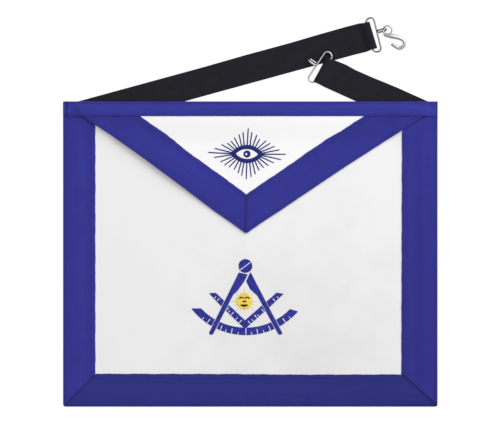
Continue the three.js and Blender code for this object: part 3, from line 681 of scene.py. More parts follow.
class Finish(Enum):
    """The finishes of the apron's pieces."""

    LEATHER = LeatherFinish("white_leather")
    FLAP_LEATHER = LeatherFinish("flap_leather", (0.935, 0.935, 0.932), (0.885, 0.884, 0.875))
    # Copies of one blue ribbon: the band's is lighter, painted light for its fold towards the
    # lamps; the bottom's is darker, partly a darker ribbon and partly painted shade for lying
    # farther from the lamps and the way its ribs face them.
    SIDE_RIBBON = RibbonFinish("side_ribbon", (0.0360, 0.0375, 0.318))
    BOTTOM_RIBBON = RibbonFinish("bottom_ribbon", (0.0290, 0.0320, 0.252))
    BAND_RIBBON = RibbonFinish("band_ribbon", (0.0400, 0.0420, 0.350))
    FLAP_RIBBON = RibbonFinish("flap_ribbon", (0.0370, 0.0395, 0.330))
    WEBBING = WebbingFinish("black_webbing")
    # Two copies of one plated steel for two like frames: the left one's is darker, painted dark
    # reflection as it lies on white; the right one's is lighter, painted bright reflection as it
    # lies on the black strap.
    WIRE = MetalFinish("steel_painted_dark", (0.26, 0.255, 0.265), 0.18, 1.2, 0.004)
    CLEAR_WIRE = MetalFinish("clear_wire", (0.56, 0.545, 0.555), 0.22, 1.2, 0.004)
    CAST = MetalFinish("cast_metal", (0.53, 0.505, 0.515), 0.30, 0.5, 0.012)
    NAVY = ThreadFinish("navy_thread", (0.014, 0.017, 0.155), (0.024, 0.028, 0.235))
    BLUE = ThreadFinish("blue_thread", (0.019, 0.023, 0.195), (0.048, 0.057, 0.46))
    YELLOW = ThreadFinish("yellow_thread", (0.84, 0.52, 0.04), (1.0, 0.88, 0.20), patch=1.8)
    PALE = ThreadFinish("pale_thread", (0.82, 0.82, 0.81), (0.90, 0.90, 0.89))
    BROWN = ThreadFinish("brown_thread", (0.022, 0.011, 0.004), (0.05, 0.025, 0.008))
    RAY = ThreadFinish("ray_thread", (0.80, 0.66, 0.34), (0.88, 0.78, 0.52))
    RIBBON_THREAD = ThreadFinish("ribbon_thread", (0.024, 0.025, 0.19), (0.034, 0.036, 0.26))


Finishes = dict[Finish, bpy.types.Material]


@dataclass(frozen=True)
class Plan:
    """The apron's sizes in plan and the heights of its layers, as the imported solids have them."""

    width: float = 406.0
    height: float = 331.0
    corner: float = 2.6
    leather: float = 1.2
    gap: float = 0.25
    ribbon: float = 1.0
    left_ribbon: float = 35.0
    right_ribbon: float = 39.0
    bottom_ribbon: float = 35.0
    turned_back: float = 12.0
    fade: float = 12.0
    band_depth: float = 16.0
    seam: float = 0.06
    top_fade: float = 30.0
    flap_leather: float = 1.0
    flap_drop: float = 144.5
    flap_tip_x: float = -4.1
    flap_blunt: float = 2.0
    flap_inset_left: float = 20.6
    flap_inset_right: float = 16.6
    flap_ribbon: float = 35.0
    flap_tuck: float = 6.0
    flap_lift: float = 3.4
    left_bow: tuple[Pair, ...] = (
        (0.0, 0.6), (0.1, 0.75), (0.2, 0.3), (0.3, 0.8), (0.4, 1.3), (0.6, 1.85), (0.7, 1.9),
        (0.85, 1.55), (0.9, 0.95), (1.0, 0.1),
    )
    right_bow: tuple[Pair, ...] = (
        (0.0, 1.2), (0.1, 1.6), (0.2, 1.2), (0.3, 1.3), (0.5, 1.3), (0.6, 1.1), (0.7, 0.45),
        (0.8, 0.0), (0.85, -0.45), (1.0, -0.7),
    )
    left_widening: tuple[Pair, ...] = (
        (0.2, -0.6), (0.3, -0.9), (0.4, -1.0), (0.5, -1.2), (0.6, -0.9), (0.7, 0.6), (1.0, 1.7),
    )
    right_widening: tuple[Pair, ...] = (
        (0.3, 0.3), (0.4, 0.65), (0.5, 1.6), (0.6, 1.9), (0.7, 2.3), (0.8, 1.5), (1.0, 1.0),
    )
    flap_lift_width: float = 40.0
    webbing: float = 1.4

    @property
    def right(self) -> float:
        """Half the width: x of the right edge, and minus x of the left one."""
        return self.width / 2.0

    @property
    def hem(self) -> float:
        """Radius of a ribbon's fold round the leather."""
        return self.leather / 2.0 + self.ribbon + self.gap

    @property
    def step(self) -> float:
        """Height of one layer of ribbon with its gap."""
        return self.ribbon + self.gap

    @property
    def tip(self) -> Floats:
        """The flap's tip in plan."""
        return np.array([self.flap_tip_x, -self.flap_drop])

    def edge(self, side: Side) -> tuple[Floats, Floats]:
        """One slanted edge of the flap.

        Args:
            side: LEFT or RIGHT.

        Returns:
            Its run from the tip up to the band, and its unit direction inwards.
        """
        inset = self.flap_inset_left if side is Side.LEFT else self.flap_inset_right
        corner = np.array([side.value * (self.right - inset), -self.band_depth])
        run = corner - self.tip
        return run, unit(np.array([-side.value * run[1], side.value * run[0]]))

    @property
    def mitre(self) -> Floats:
        """From the tip, the step in plan that goes 1 in from both slanted edges."""
        left, right = self.edge(Side.LEFT)[1], self.edge(Side.RIGHT)[1]
        return (left + right) / (1.0 + float(left @ right))

    def top_rise(self, y: Floats) -> Floats:
        """1 over the straps and the band's back layer, 0 where the leather lies flat."""
        return 1.0 - smooth(-y, self.band_depth + 1.0, self.band_depth + 1.0 + self.top_fade)

    def clear_of_hem(self, distance: Floats) -> Floats:
        """0 over a ribbon's turned-back layer, 1 past it."""
        return smooth(distance, self.turned_back + 2.0, self.turned_back + 2.0 + self.fade)

    def panel_bottom(self, x: Floats, y: Floats) -> Floats:
        """Height of the leather's underside."""
        rise = self.top_rise(y)
        flat = self.clear_of_hem(x + self.right) * self.clear_of_hem(self.right - x)
        flat = flat * self.clear_of_hem(self.height + y) * (1.0 - rise)
        return self.step * (1.0 - flat) + (self.webbing + self.gap) * rise

    def panel_top(self, x: Floats, y: Floats) -> Floats:
        """Height of the leather's face."""
        return self.panel_bottom(x, y) + self.leather

    def slack(self, x: Floats, y: Floats) -> Floats:
        """The open leather's slow swells and one faint old crease, zero under the ribbons."""
        inside = smooth(x + self.right - self.left_ribbon, 2.0, 26.0)
        inside = inside * smooth(self.right - self.right_ribbon - x, 2.0, 26.0)
        inside = inside * smooth(self.height - self.bottom_ribbon + y, 2.0, 26.0)
        inside = inside * smooth(-y, 40.0, 90.0)
        swell = 0.30 * np.sin(x / 47.0 + 0.6) * np.sin(y / 61.0 + 1.1)
        swell = swell + 0.22 * np.sin((x - 0.8 * y) / 29.0)
        swell = swell + 0.10 * np.sin((x + 1.3 * y) / 13.0 + 2.0)
        near = smooth(np.hypot((x + 5.3) / 75.0, (y + 215.0) / 62.0), 0.75, 1.3)
        crease = ridge(x + 59.9, 1.3) * smooth(-y, 135.0, 160.0)
        crease = crease * (1.0 - smooth(-y, 270.0, 292.0))
        return inside * (swell * (0.25 + 0.75 * near) * 0.5 - 0.05 * crease)

    def flap_lift_at(self, x: Floats, y: Floats) -> Floats:
        """How far the flap stands off the panel near its left edge."""
        run, inward = self.edge(Side.LEFT)
        share = (y - self.tip[1]) / run[1]
        distance = (x - self.tip[0] - run[0] * share) * inward[0]
        along = smooth(share, 0.1, 0.6) * (1.0 - smooth(share, 0.76, 0.97))
        return self.flap_lift * (1.0 - smooth(distance, 4.0, self.flap_lift_width)) * along

    def over_side_ribbons(self, x: Floats) -> Floats:
        """How far the flap is raised where it crosses a side ribbon."""
        reach = self.fade + 5.0
        left = 1.0 - smooth(x + self.right, self.left_ribbon + 1.0, self.left_ribbon + reach)
        right = 1.0 - smooth(self.right - x, self.right_ribbon + 1.0, self.right_ribbon + reach)
        return (self.step + self.gap) * np.maximum(left, right)

    def flap_bottom(self, x: Floats, y: Floats) -> Floats:
        """Height of the flap's underside."""
        return self.panel_top(x, y) + self.gap + self.over_side_ribbons(x) + self.flap_lift_at(x, y)

    def flap_top(self, x: Floats, y: Floats) -> Floats:
        """Height of the flap leather's face."""
        return self.flap_bottom(x, y) + self.flap_leather

    def under_band(self, x: Floats, y: Floats) -> Floats:
        """What the band's face lies on: the panel at the fold and the flap lower down."""
        tuck = 2.0 * self.flap_tuck
        left = smooth(x + self.right, self.flap_inset_left - tuck, self.flap_inset_left)
        right = smooth(self.right - x, self.flap_inset_right - tuck, self.flap_inset_right)
        tucked = smooth(-y, self.hem, self.band_depth - self.flap_tuck - 1.0)
        flap = self.flap_top(x, y) - self.panel_top(x, y)
        return self.panel_top(x, y) + flap * np.minimum(left, right) * tucked

    def flap_spot(self, side: Side, distance: Floats, y: Floats) -> Floats:
        """x at a distance in from one slanted edge, at a height y in plan."""
        run, inward = self.edge(side)
        share = (np.minimum(y, -self.band_depth) - self.tip[1]) / run[1]
        return self.tip[0] + run[0] * share + (distance + self.bow(side, share)) / inward[0]

    def bow(self, side: Side, share: Floats) -> Floats:
        """How far in a slanted edge bows, at a share of the way from the tip to the band."""
        return read_off(self.left_bow if side is Side.LEFT else self.right_bow, share)

    def meeting(self, distance: Floats) -> Floats:
        """y of the mitre: where the two slanted edges meet, each moved in by a distance."""
        (left, left_in), (right, right_in) = self.edge(Side.LEFT), self.edge(Side.RIGHT)
        share = distance * self.mitre[1] / left[1]
        for _ in range(5):
            reach = (distance + self.bow(Side.LEFT, share)) / left_in[0]
            reach = reach - (distance + self.bow(Side.RIGHT, share)) / right_in[0]
            share = reach / (right[0] - left[0])
        return self.tip[1] + share * left[1]

    def rounded(self, x: Floats, y: Floats) -> tuple[Floats, Floats]:
        """The square lower corners drawn in to a round.

        Args:
            x: places across.
            y: places up the apron.

        Returns:
            The same places, those in a corner's square moved on to its quarter circle's
            rings: a point's larger offset becomes its distance from the round's centre.
        """
        across = self.corner - (self.right - np.abs(x))
        down = self.corner - (self.height + y)
        inside = (across > 0.0) & (down > 0.0)
        shrink = np.maximum(across, down) / np.maximum(np.hypot(across, down), 1e-9)
        new_x = np.sign(x) * (self.right - self.corner + across * shrink)
        new_y = -self.height + self.corner - down * shrink
        return np.where(inside, new_x, x), np.where(inside, new_y, y)


SEAM_WIDTH = 0.8
BRINK_WIDTH = 1.1


def sewn_down(distance: Floats, width: float, lines: Pair) -> tuple[Floats, Floats]:
    """How near places on a ribbon are to its sewn lines and its inner edge, 1 at the most.

    Args:
        distance: distance from the outer edge.
        width: the ribbon's width.
        lines: distances of the sewn lines.

    Returns:
        Ridges along the lines, and one that is level past the inner edge.
    """
    sewn = sum(ridge(distance - line, SEAM_WIDTH) for line in lines)
    return sewn, ridge(np.maximum(width - distance, 0.0), BRINK_WIDTH)


def stations(start: float, end: float, spacing: float) -> Floats:
    """Evenly spaced values from start to end, at about a spacing."""
    return np.linspace(start, end, max(2, int(round(abs(end - start) / spacing)) + 1))


@dataclass
class LeatherPanel:
    """The white leather body of the apron."""

    plan: Plan
    spacing: float = 2.4

    def surface(self) -> Surface:
        """A grid over the panel; its two skins are the layer's bottom and top heights."""
        plan = self.plan
        rows = stations(-plan.hem, plan.hem - plan.height, self.spacing)
        columns = stations(plan.hem - plan.right, plan.right - plan.hem, self.spacing)
        y, x = np.meshgrid(rows, columns, indexing="ij")
        slack = plan.slack(x, y)
        spot = plan.rounded(x, y)
        outer = np.stack([*spot, plan.panel_top(x, y) + slack], axis=-1)
        inner = np.stack([*spot, plan.panel_bottom(x, y) + np.maximum(slack, 0.0)], axis=-1)
        return closed_sheet(outer, inner, np.stack([x, y], axis=-1))

    def build(self, finishes: Finishes) -> bpy.types.Object:
        """Makes the panel."""
        return place(
            "panel_leather", self.surface(), finishes[Finish.LEATHER], "white_leather",
            Body.APRON, ("apron_panel",), soften=0.3,
        )


@dataclass
class FoldedRibbon:
    """A blue ribbon folded round one edge of the leather and sewn down along its inner edge."""

    plan: Plan
    side: Side
    node: str
    width: float
    phase: float
    mitre_shade: float = 0.6
    spacing: float = 1.8
    finish: Finish = Finish.SIDE_RIBBON
    outer_seam: float = 3.0
    inner_seam: float = 4.6
    groove: float = 0.16
    wander: float = 0.28
    edge_drop: float = 0.6
    bows: tuple[Pair, ...] = ((0.0, 0.0), (1.0, 0.0))
    back: float = field(default=0.0)

    def __post_init__(self) -> None:
        """Takes the depth of the turned-back layer from the plan where none is given."""
        self.back = self.back or self.plan.turned_back

    @property
    def seams(self) -> Pair:
        """Distances of the two sewn lines from the edge."""
        return self.outer_seam, self.width - self.inner_seam

    def spot(self, share: Floats, distance: Floats) -> tuple[Floats, Floats]:
        """The place in plan at a share of the length and a distance from the edge.

        Args:
            share: 0 at the ribbon's first end, 1 at its last.
            distance: how far in from the apron's edge.

        Returns:
            x and y; the ends run along the mitres of the lower corners.
        """
        plan = self.plan
        half = plan.seam / 2.0
        if self.side is Side.TOP:
            return blend(-plan.right, plan.right, share) + 0.0 * distance, -distance + 0.0 * share
        if self.side is Side.BOTTOM:
            low = -plan.right + distance * plan.left_ribbon / plan.bottom_ribbon + half
            high = plan.right - distance * plan.right_ribbon / plan.bottom_ribbon - half
            return blend(low, high, share), -plan.height + distance + 0.0 * share
        low = -plan.height + distance * plan.bottom_ribbon / self.width + half
        start = -plan.band_depth - plan.seam
        return self.side.value * (plan.right - distance), blend(start, low, share)

    def profile(self) -> tuple[Floats, Floats]:
        """Distances from the edge and turns round the fold, in degrees, across the ribbon."""
        plan = self.plan
        face = stations(self.width, plan.hem + 0.01, 1.1)
        fold = np.linspace(0.0, 180.0, 15)
        behind = stations(plan.hem + 1.0, self.back, 2.5)
        distance = np.concatenate([face, np.full(len(fold), plan.hem), behind])
        turn = np.concatenate([np.zeros(len(face)), fold, np.full(len(behind), 180.0)])
        return distance, turn

    def face_height(self, x: Floats, y: Floats) -> Floats:
        """What the ribbon's face lies on."""
        plan = self.plan
        return plan.under_band(x, y) if self.side is Side.TOP else plan.panel_top(x, y)

    def detail(self, along: Floats, distance: Floats, share: Floats) -> tuple[Floats, Floats]:
        """How far the face is sunk, and its painted shade.

        Args:
            along: length along the ribbon.
            distance: distance from the edge.
            share: share of the length.

        Returns:
            Depth of the sewn grooves and of the drawn-in ends, and the painted shade, 0 to 1.
        """
        pulls = 0.75 + 0.25 * np.sin(2.0 * math.pi * along / 3.2)
        sewn, brink = sewn_down(distance, self.width, self.seams)
        from_start, to_end = share * np.ptp(along), (1.0 - share) * np.ptp(along)
        # Painted shade along the sewn lines, in the outer fold and at the inner edge.
        shade = 0.16 * sewn + 0.55 * ridge(distance, 1.3)
        shade = shade + 0.2 * ridge(self.width - distance, 0.5)
        depth = self.groove * sewn * pulls + self.edge_drop * brink
        if self.side is Side.TOP:
            # The band's crease near its left end is sunk and darkened with painted shade.
            crease = ridge(along + self.plan.right - 3.8, 0.7)
            return depth + 0.5 * crease, np.clip(shade + 0.75 * crease, 0.0, 1.0)
        ends = ridge(from_start, 0.9) + ridge(to_end, 0.9)
        # Painted shade in the mitres at the two ends.
        shade = shade + self.mitre_shade * (ridge(from_start, 1.8) + ridge(to_end, 1.8))
        return depth + 0.3 * ends * (distance > 0.0), np.clip(shade, 0.0, 1.0)

    def surface(self) -> Surface:
        """The ribbon as a C-shaped profile carried along its edge.

        Returns:
            A closed sheet: a point at a turn a round the fold lies at radius * sin a out from
            the hem and radius * cos a over or under the middle of the leather.
        """
        plan = self.plan
        distance, turn = self.profile()
        angle = np.radians(turn)[None]
        level = self.side in (Side.TOP, Side.BOTTOM)
        length = plan.width if level else plan.height - plan.band_depth
        share = np.linspace(0.0, 1.0, int(length / self.spacing))[:, None]
        inner_edge = smooth(distance, self.width - 9.0, self.width)[None]
        wander = waver(share * length, self.wander, self.phase) + read_off(self.bows, share)
        wander = wander * inner_edge * (turn == 0.0)
        core = self.spot(share, distance[None] + wander)
        along = core[0] if level else -core[1]
        sunk, shade = self.detail(along, distance[None] + wander, share)
        middle = np.where(
            angle <= math.pi / 2.0,
            self.face_height(*core) - plan.leather / 2.0,
            plan.panel_bottom(*core) + plan.leather / 2.0,
        )
        skins = []
        for radius in (plan.hem, plan.hem - plan.ribbon):
            spot = self.spot(share, distance[None] + wander - radius * np.sin(angle))
            height = middle + radius * np.cos(angle)
            if radius == plan.hem:
                height = height - sunk * (turn == 0.0)
            skins.append(np.stack([*plan.rounded(*spot), height], axis=-1))
        across = distance[None] + wander - (turn[None] / 180.0) * math.pi * plan.hem
        pattern = np.stack([along, across], axis=-1)
        return closed_sheet(skins[0], skins[1], pattern, shade * (turn <= 90.0))

    def build(self, finishes: Finishes) -> bpy.types.Object:
        """Makes the ribbon."""
        return place(
            self.node.replace("border", "ribbon").replace("top_band", "band_ribbon"),
            self.surface(), finishes[self.finish], "blue_ribbon", Body.APRON, (self.node,),
            soften=0.22,
        )

    def seam_path(self, distance: float, samples: int) -> Floats:
        """Points on the ribbon's face along a line at a distance from the edge."""
        plan = self.plan
        share = np.linspace(0.012, 0.988, samples)
        x, y = self.spot(share, np.full(samples, distance))
        height = self.face_height(x, y) + plan.gap + plan.ribbon - self.groove
        return np.stack([x, y, height], axis=-1)

    def seam_paths(self) -> list[Floats]:
        """The two sewn lines."""
        return [self.seam_path(line, 240) for line in self.seams]


@dataclass
class Flap:
    """The triangular flap: white leather with a mitred blue ribbon along its two edges."""

    plan: Plan
    spacing: float = 1.8
    outer_seam: float = 3.0
    seam_inset: float = 4.2
    groove: float = 0.16
    edge_drop: float = 0.6

    @property
    def seams(self) -> Pair:
        """Distances of the two sewn lines from the edge."""
        return self.outer_seam, self.plan.flap_ribbon - self.seam_inset

    def leather(self) -> Surface:
        """Rows from the band to the tip, each from one slanted edge to the other."""
        plan = self.plan
        inset = plan.ribbon + plan.gap
        end = float(plan.meeting(np.array(inset))) + 1.2
        rows = np.concatenate([
            stations(plan.flap_tuck - plan.band_depth, -plan.band_depth, 1.5)[:-1],
            stations(-plan.band_depth, end, self.spacing),
        ])[:, None]
        share = np.linspace(0.0, 1.0, 150)[None]
        left = plan.flap_spot(Side.LEFT, inset, rows)
        right = plan.flap_spot(Side.RIGHT, inset, rows)
        x = blend(left, right, share)
        y = rows + 0.0 * share
        outer = np.stack([x, y, plan.flap_top(x, y)], axis=-1)
        inner = np.stack([x, y, plan.flap_bottom(x, y)], axis=-1)
        return closed_sheet(outer, inner, np.stack([x, y], axis=-1))

    def ribbon_profile(self) -> tuple[Floats, Floats, Floats, Floats]:
        """The ribbon's section: distances in and drops of its outer and inner skins.

        Returns:
            Outer distance, inner distance, outer drop and inner drop. The face ends in a
            quarter round and a lip that covers the leather's edge.
        """
        wall = self.plan.ribbon
        face = stations(self.plan.flap_ribbon, 1.4, 1.1)
        angle = np.radians(np.linspace(0.0, 90.0, 6))
        deep = wall + self.plan.gap + self.plan.flap_leather
        outer = np.concatenate([face, wall * (1.0 - np.sin(angle)), [0.0]])
        inner = np.concatenate([face, np.linspace(1.3 * wall, wall, 6), [wall]])
        drop = np.concatenate([np.zeros(len(face)), wall * (1.0 - np.cos(angle)), [deep]])
        under = np.concatenate([np.zeros(len(face) + 6), [deep - wall]])
        return outer, inner, drop, under

    def spot(self, side: Side, share: Floats, distance: Floats) -> tuple[Floats, Floats]:
        """The place at a share of the way from the band to the mitre, at a distance in."""
        plan = self.plan
        start = -plan.band_depth - plan.seam
        end = np.maximum(plan.meeting(distance) + 0.02, plan.tip[1] + plan.flap_blunt)
        y = blend(start, end, share)
        return plan.flap_spot(side, distance + 0.0 * share, y), y

    def ribbon(self, side: Side) -> Surface:
        """One of the flap's ribbons: its section carried from the band down to the mitre.

        Args:
            side: LEFT or RIGHT.

        Returns:
            The closed sheet, sunk along its seams and drawn in at the mitre, with its painted
            shade.
        """
        plan = self.plan
        outer, inner, drop, under = (values[None] for values in self.ribbon_profile())
        share = np.linspace(0.0, 1.0, 118)[:, None]
        wander = waver(share * 215.0, 0.25, 2.0 + side.value)
        widening = plan.left_widening if side is Side.LEFT else plan.right_widening
        wander = wander + read_off(widening, 1.0 - share)
        wander = wander * smooth(outer, plan.flap_ribbon - 9.0, plan.flap_ribbon)
        x, y = self.spot(side, share, outer + wander)
        along = share * np.linalg.norm(plan.edge(side)[0])
        sewn, brink = sewn_down(outer, plan.flap_ribbon, self.seams)
        left_to_go = (1.0 - share) * 200.0
        ends = ridge(left_to_go, 0.9)
        sunk = self.groove * sewn + 0.2 * ends * (outer > 0.5) + self.edge_drop * brink
        top = plan.flap_top(x, y) + plan.gap + plan.ribbon - drop - sunk * (drop == 0.0)
        inner_x, inner_y = self.spot(side, share, inner + wander)
        low = plan.flap_top(inner_x, inner_y) + plan.gap - under
        # Painted shade along the sewn lines and the inner edge, in the mitre line, darker on the
        # left ribbon, and along the band.
        shade = 0.15 * sewn + 0.2 * ridge(plan.flap_ribbon - outer, 0.5)
        shade = shade + (0.72 if side is Side.LEFT else 0.1) * ridge(left_to_go, 2.0)
        shade = shade + 0.8 * ridge(share * 200.0, 1.6)
        return closed_sheet(
            np.stack([x, y, top], axis=-1),
            np.stack([inner_x, inner_y, low], axis=-1),
            np.stack([along + 0.0 * outer, outer - drop + 0.0 * share], axis=-1),
            np.clip(shade, 0.0, 1.0),
        )

    def build(self, finishes: Finishes) -> tuple[bpy.types.Object, list[bpy.types.Object]]:
        """Makes the leather and its two ribbons."""
        leather = place(
            "flap_leather", self.leather(), finishes[Finish.FLAP_LEATHER], "white_leather",
            Body.APRON, ("flap_panel",), soften=0.25,
        )
        ribbons = [
            place(
                f"flap_ribbon_{side.name.lower()}", self.ribbon(side), finishes[Finish.FLAP_RIBBON],
                "blue_ribbon", Body.APRON, (f"flap_border_{side.name.lower()}",), soften=0.2,
            )
            for side in (Side.LEFT, Side.RIGHT)
        ]
        return leather, ribbons

    def seam_paths(self, side: Side) -> list[Floats]:
        """The two sewn lines of one ribbon."""
        plan = self.plan
        share = np.linspace(0.01, 0.985, 240)
        paths = []
        for line in self.seams:
            x, y = self.spot(side, share, np.full(240, line))
            height = plan.flap_top(x, y) + plan.gap + plan.ribbon - self.groove
            paths.append(np.stack([x, y, height], axis=-1))
        return paths


@dataclass
class Stitching:
    """Machine stitches: short threads laid end to end along a sewn line."""

    stitch: float = 2.5
    space: float = 0.6
    radius: float = 0.17
    stations: int = 6

    def along(self, path: Floats) -> Surface:
        """Stitches along one line.

        Args:
            path: points on the cloth's face, (n, 3).

        Returns:
            Tubes that rise from the cloth, lie on it and go down again: height is
            radius * (1 - (2t - 1)^6) for t from 0 to 1 along a stitch.
        """
        starts = np.arange(0.0, walked(path)[-1] - self.stitch, self.stitch + self.space)
        share = np.linspace(0.0, 1.0, self.stations)
        points = points_at(path, starts[:, None] + share * self.stitch)
        points[..., 2] += self.radius * (1.0 - (2.0 * share - 1.0) ** 6) - 0.3 * self.radius
        radii = self.radius * (0.55 + 0.45 * np.sqrt(1.0 - (2.0 * share - 1.0) ** 2))
        return tubes(points, radii[None], sides=5)

    def build(
        self, name: str, paths: list[Floats], material: bpy.types.Material, slot: str
    ) -> bpy.types.Object:
        """Makes one object of the stitches along several lines."""
        threads = joined([self.along(path) for path in paths])
        return place(name, threads, material, slot, Body.APRON, crease=80.0)


@dataclass(frozen=True)
class Course:
    """Where a strap lies: its end's middle, heading and skew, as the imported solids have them."""

    crossing: float
    heading: float
    reach: float
    end_skew: float
    frame_inset: float
    frame_slide: float
    frame_skew: float
    eyelet_at: float
    eyelet_lean: float

    @property
    def ahead(self) -> Floats:
        """Direction towards the strap's free end."""
        return level_way(self.heading)

    @property
    def aside(self) -> Floats:
        """Direction to the left of the free end."""
        return np.cross(UP, self.ahead)

    @property
    def end(self) -> Floats:
        """Middle of the strap's folded end."""
        return np.array([self.crossing, 0.0, 0.0]) + self.reach * self.ahead


LEFT_COURSE = Course(-130.3, 15.3, 273.4, 1.3, 4.9, 0.0, -1.4, 2.5, 0.0)
RIGHT_COURSE = Course(152.4, 155.8, 84.6, -4.0, 4.0, -1.6, -9.5, 0.0, 35.0)


@dataclass
class FrameWire:
    """A bent wire frame with a bar in the strap's fold and an oval eyelet on its outer side."""

    course: Course
    side: Side
    body: Body
    wire: float = 1.95
    length: float = 39.6
    depth: float = 9.4
    bend: float = 3.9
    bar_bend: float = 5.3
    eyelet_reach: float = 11.3
    eyelet_height: float = 6.5
    twist: float = 0.0
    webbing: float = 1.4
    rest: float = 0.05
    lying: float = 0.3

    @property
    def half_height(self) -> float:
        """Half the height of the eyelet as it leans."""
        lean = math.cos(math.radians(self.course.eyelet_lean))
        return ((self.eyelet_height - self.wire) * lean + self.wire) / 2.0

    @property
    def level(self) -> float:
        """Height of the frame's plane over the floor."""
        under = self.rest if self.side is Side.LEFT else self.webbing + self.lying
        return under + self.half_height

    def to_plan(self, points: Floats) -> Floats:
        """Points given by (out, aside, up) of the frame, in the apron's plan."""
        course = self.course
        ahead = level_way(course.heading + course.frame_skew)
        aside = np.cross(UP, ahead)
        origin = course.end - course.frame_inset * course.ahead + course.frame_slide * aside
        origin = origin + self.level * UP
        return origin + points[..., :1] * ahead + points[..., 1:2] * aside + points[..., 2:] * UP

    def loop(self) -> Floats:
        """The frame's centre line, a rounded oblong."""
        half = (self.length - self.wire) / 2.0
        corners = [
            (self.bar_bend, self.bar_bend - half, self.bar_bend, 180.0),
            (self.depth - self.bend, self.bend - half, self.bend, 270.0),
            (self.depth - self.bend, half - self.bend, self.bend, 0.0),
            (self.bar_bend, half - self.bar_bend, self.bar_bend, 90.0),
        ]
        points = []
        for x, y, radius, start in corners:
            angle = np.radians(np.linspace(start, start + 90.0, 13))
            points.append(np.array([x, y]) + radius * ways(angle))
        flat = resampled(np.concatenate(points), 220, closed=True)
        return np.concatenate([flat, np.zeros((len(flat), 1))], axis=1)

    def eyelet(self) -> tuple[Floats, Floats]:
        """The eyelet's centre line, an upright oval, and the normal of its plane."""
        round_ = (self.eyelet_height - self.wire) / 2.0
        far = self.depth + self.eyelet_reach - self.wire / 2.0 - round_
        near = np.radians(np.linspace(90.0, 270.0, 20))
        away = np.radians(np.linspace(270.0, 450.0, 20))
        out = [self.depth + round_ + round_ * np.cos(near), far + round_ * np.cos(away)]
        up = np.concatenate([round_ * np.sin(near), round_ * np.sin(away)])
        line = resampled(np.stack([np.concatenate(out), up], axis=-1), 96, closed=True)
        lean = math.radians(self.course.eyelet_lean + self.twist)
        aside = self.course.eyelet_at + line[:, 1] * math.sin(lean)
        points = np.stack([line[:, 0], aside, line[:, 1] * math.cos(lean)], axis=-1)
        return points, np.array([0.0, math.cos(lean), -math.sin(lean)])

    def surface(self) -> Surface:
        """The two bent wires as round tubes."""
        frame_loop = tubes(self.loop()[None], self.wire / 2.0, sides=20, closed=True)
        line, normal = self.eyelet()
        eyelet = tubes(line[None], self.wire / 2.0, sides=20, closed=True, up=normal)
        whole = joined([frame_loop, eyelet])
        whole.points = self.to_plan(whole.points)
        return whole

    def build(self, finishes: Finishes) -> bpy.types.Object:
        """Makes the frame, its wires run together where they meet."""
        name = f"wire_loop_{self.side.name.lower()}"
        node = f"wire_frame_{self.side.name.lower()}"
        # The left frame takes the darker copy of the steel and the right the lighter one: painted
        # reflection.
        finish = finishes[Finish.WIRE] if self.side is Side.LEFT else finishes[Finish.CLEAR_WIRE]
        piece = place(name, self.surface(), finish, "bright_steel", self.body, (node,))
        run_together(piece, 0.16, 4)
        return piece


def resampled(line: Floats, count: int, closed: bool = False) -> Floats:
    """A line of points spaced evenly along its length.

    Args:
        line: (n, dimensions).
        count: number of points.
        closed: whether the line comes back to its first point, which isn't repeated.

    Returns:
        (count, dimensions), interpolated straight between the given points.
    """
    path = np.concatenate([line, line[:1]]) if closed else line
    return points_at(path, np.linspace(0.0, walked(path)[-1], count, endpoint=not closed))


def run_together(piece: bpy.types.Object, voxel: float, rounds: int) -> None:
    """Fuses a piece's overlapping parts into one skin and smooths the joins.

    Args:
        piece: the object, whose mesh is replaced.
        voxel: size of the remesh in millimetres.
        rounds: rounds of smoothing.
    """
    remesh = piece.modifiers.new("one_skin", "REMESH")
    remesh.mode = "VOXEL"
    remesh.voxel_size = voxel * MM
    remesh.use_smooth_shade = True
    soft = piece.modifiers.new("smooth_joins", "SMOOTH")
    soft.factor = 0.5
    soft.iterations = rounds
    graph = bpy.context.evaluated_depsgraph_get()
    fused = bpy.data.meshes.new_from_object(piece.evaluated_get(graph))
    old = piece.data
    piece.modifiers.clear()
    fused.materials.clear()
    fused.materials.append(old.materials[0])
    piece.data = fused
    fused.name = piece.name
    fused.shade_smooth()
    bpy.data.meshes.remove(old)


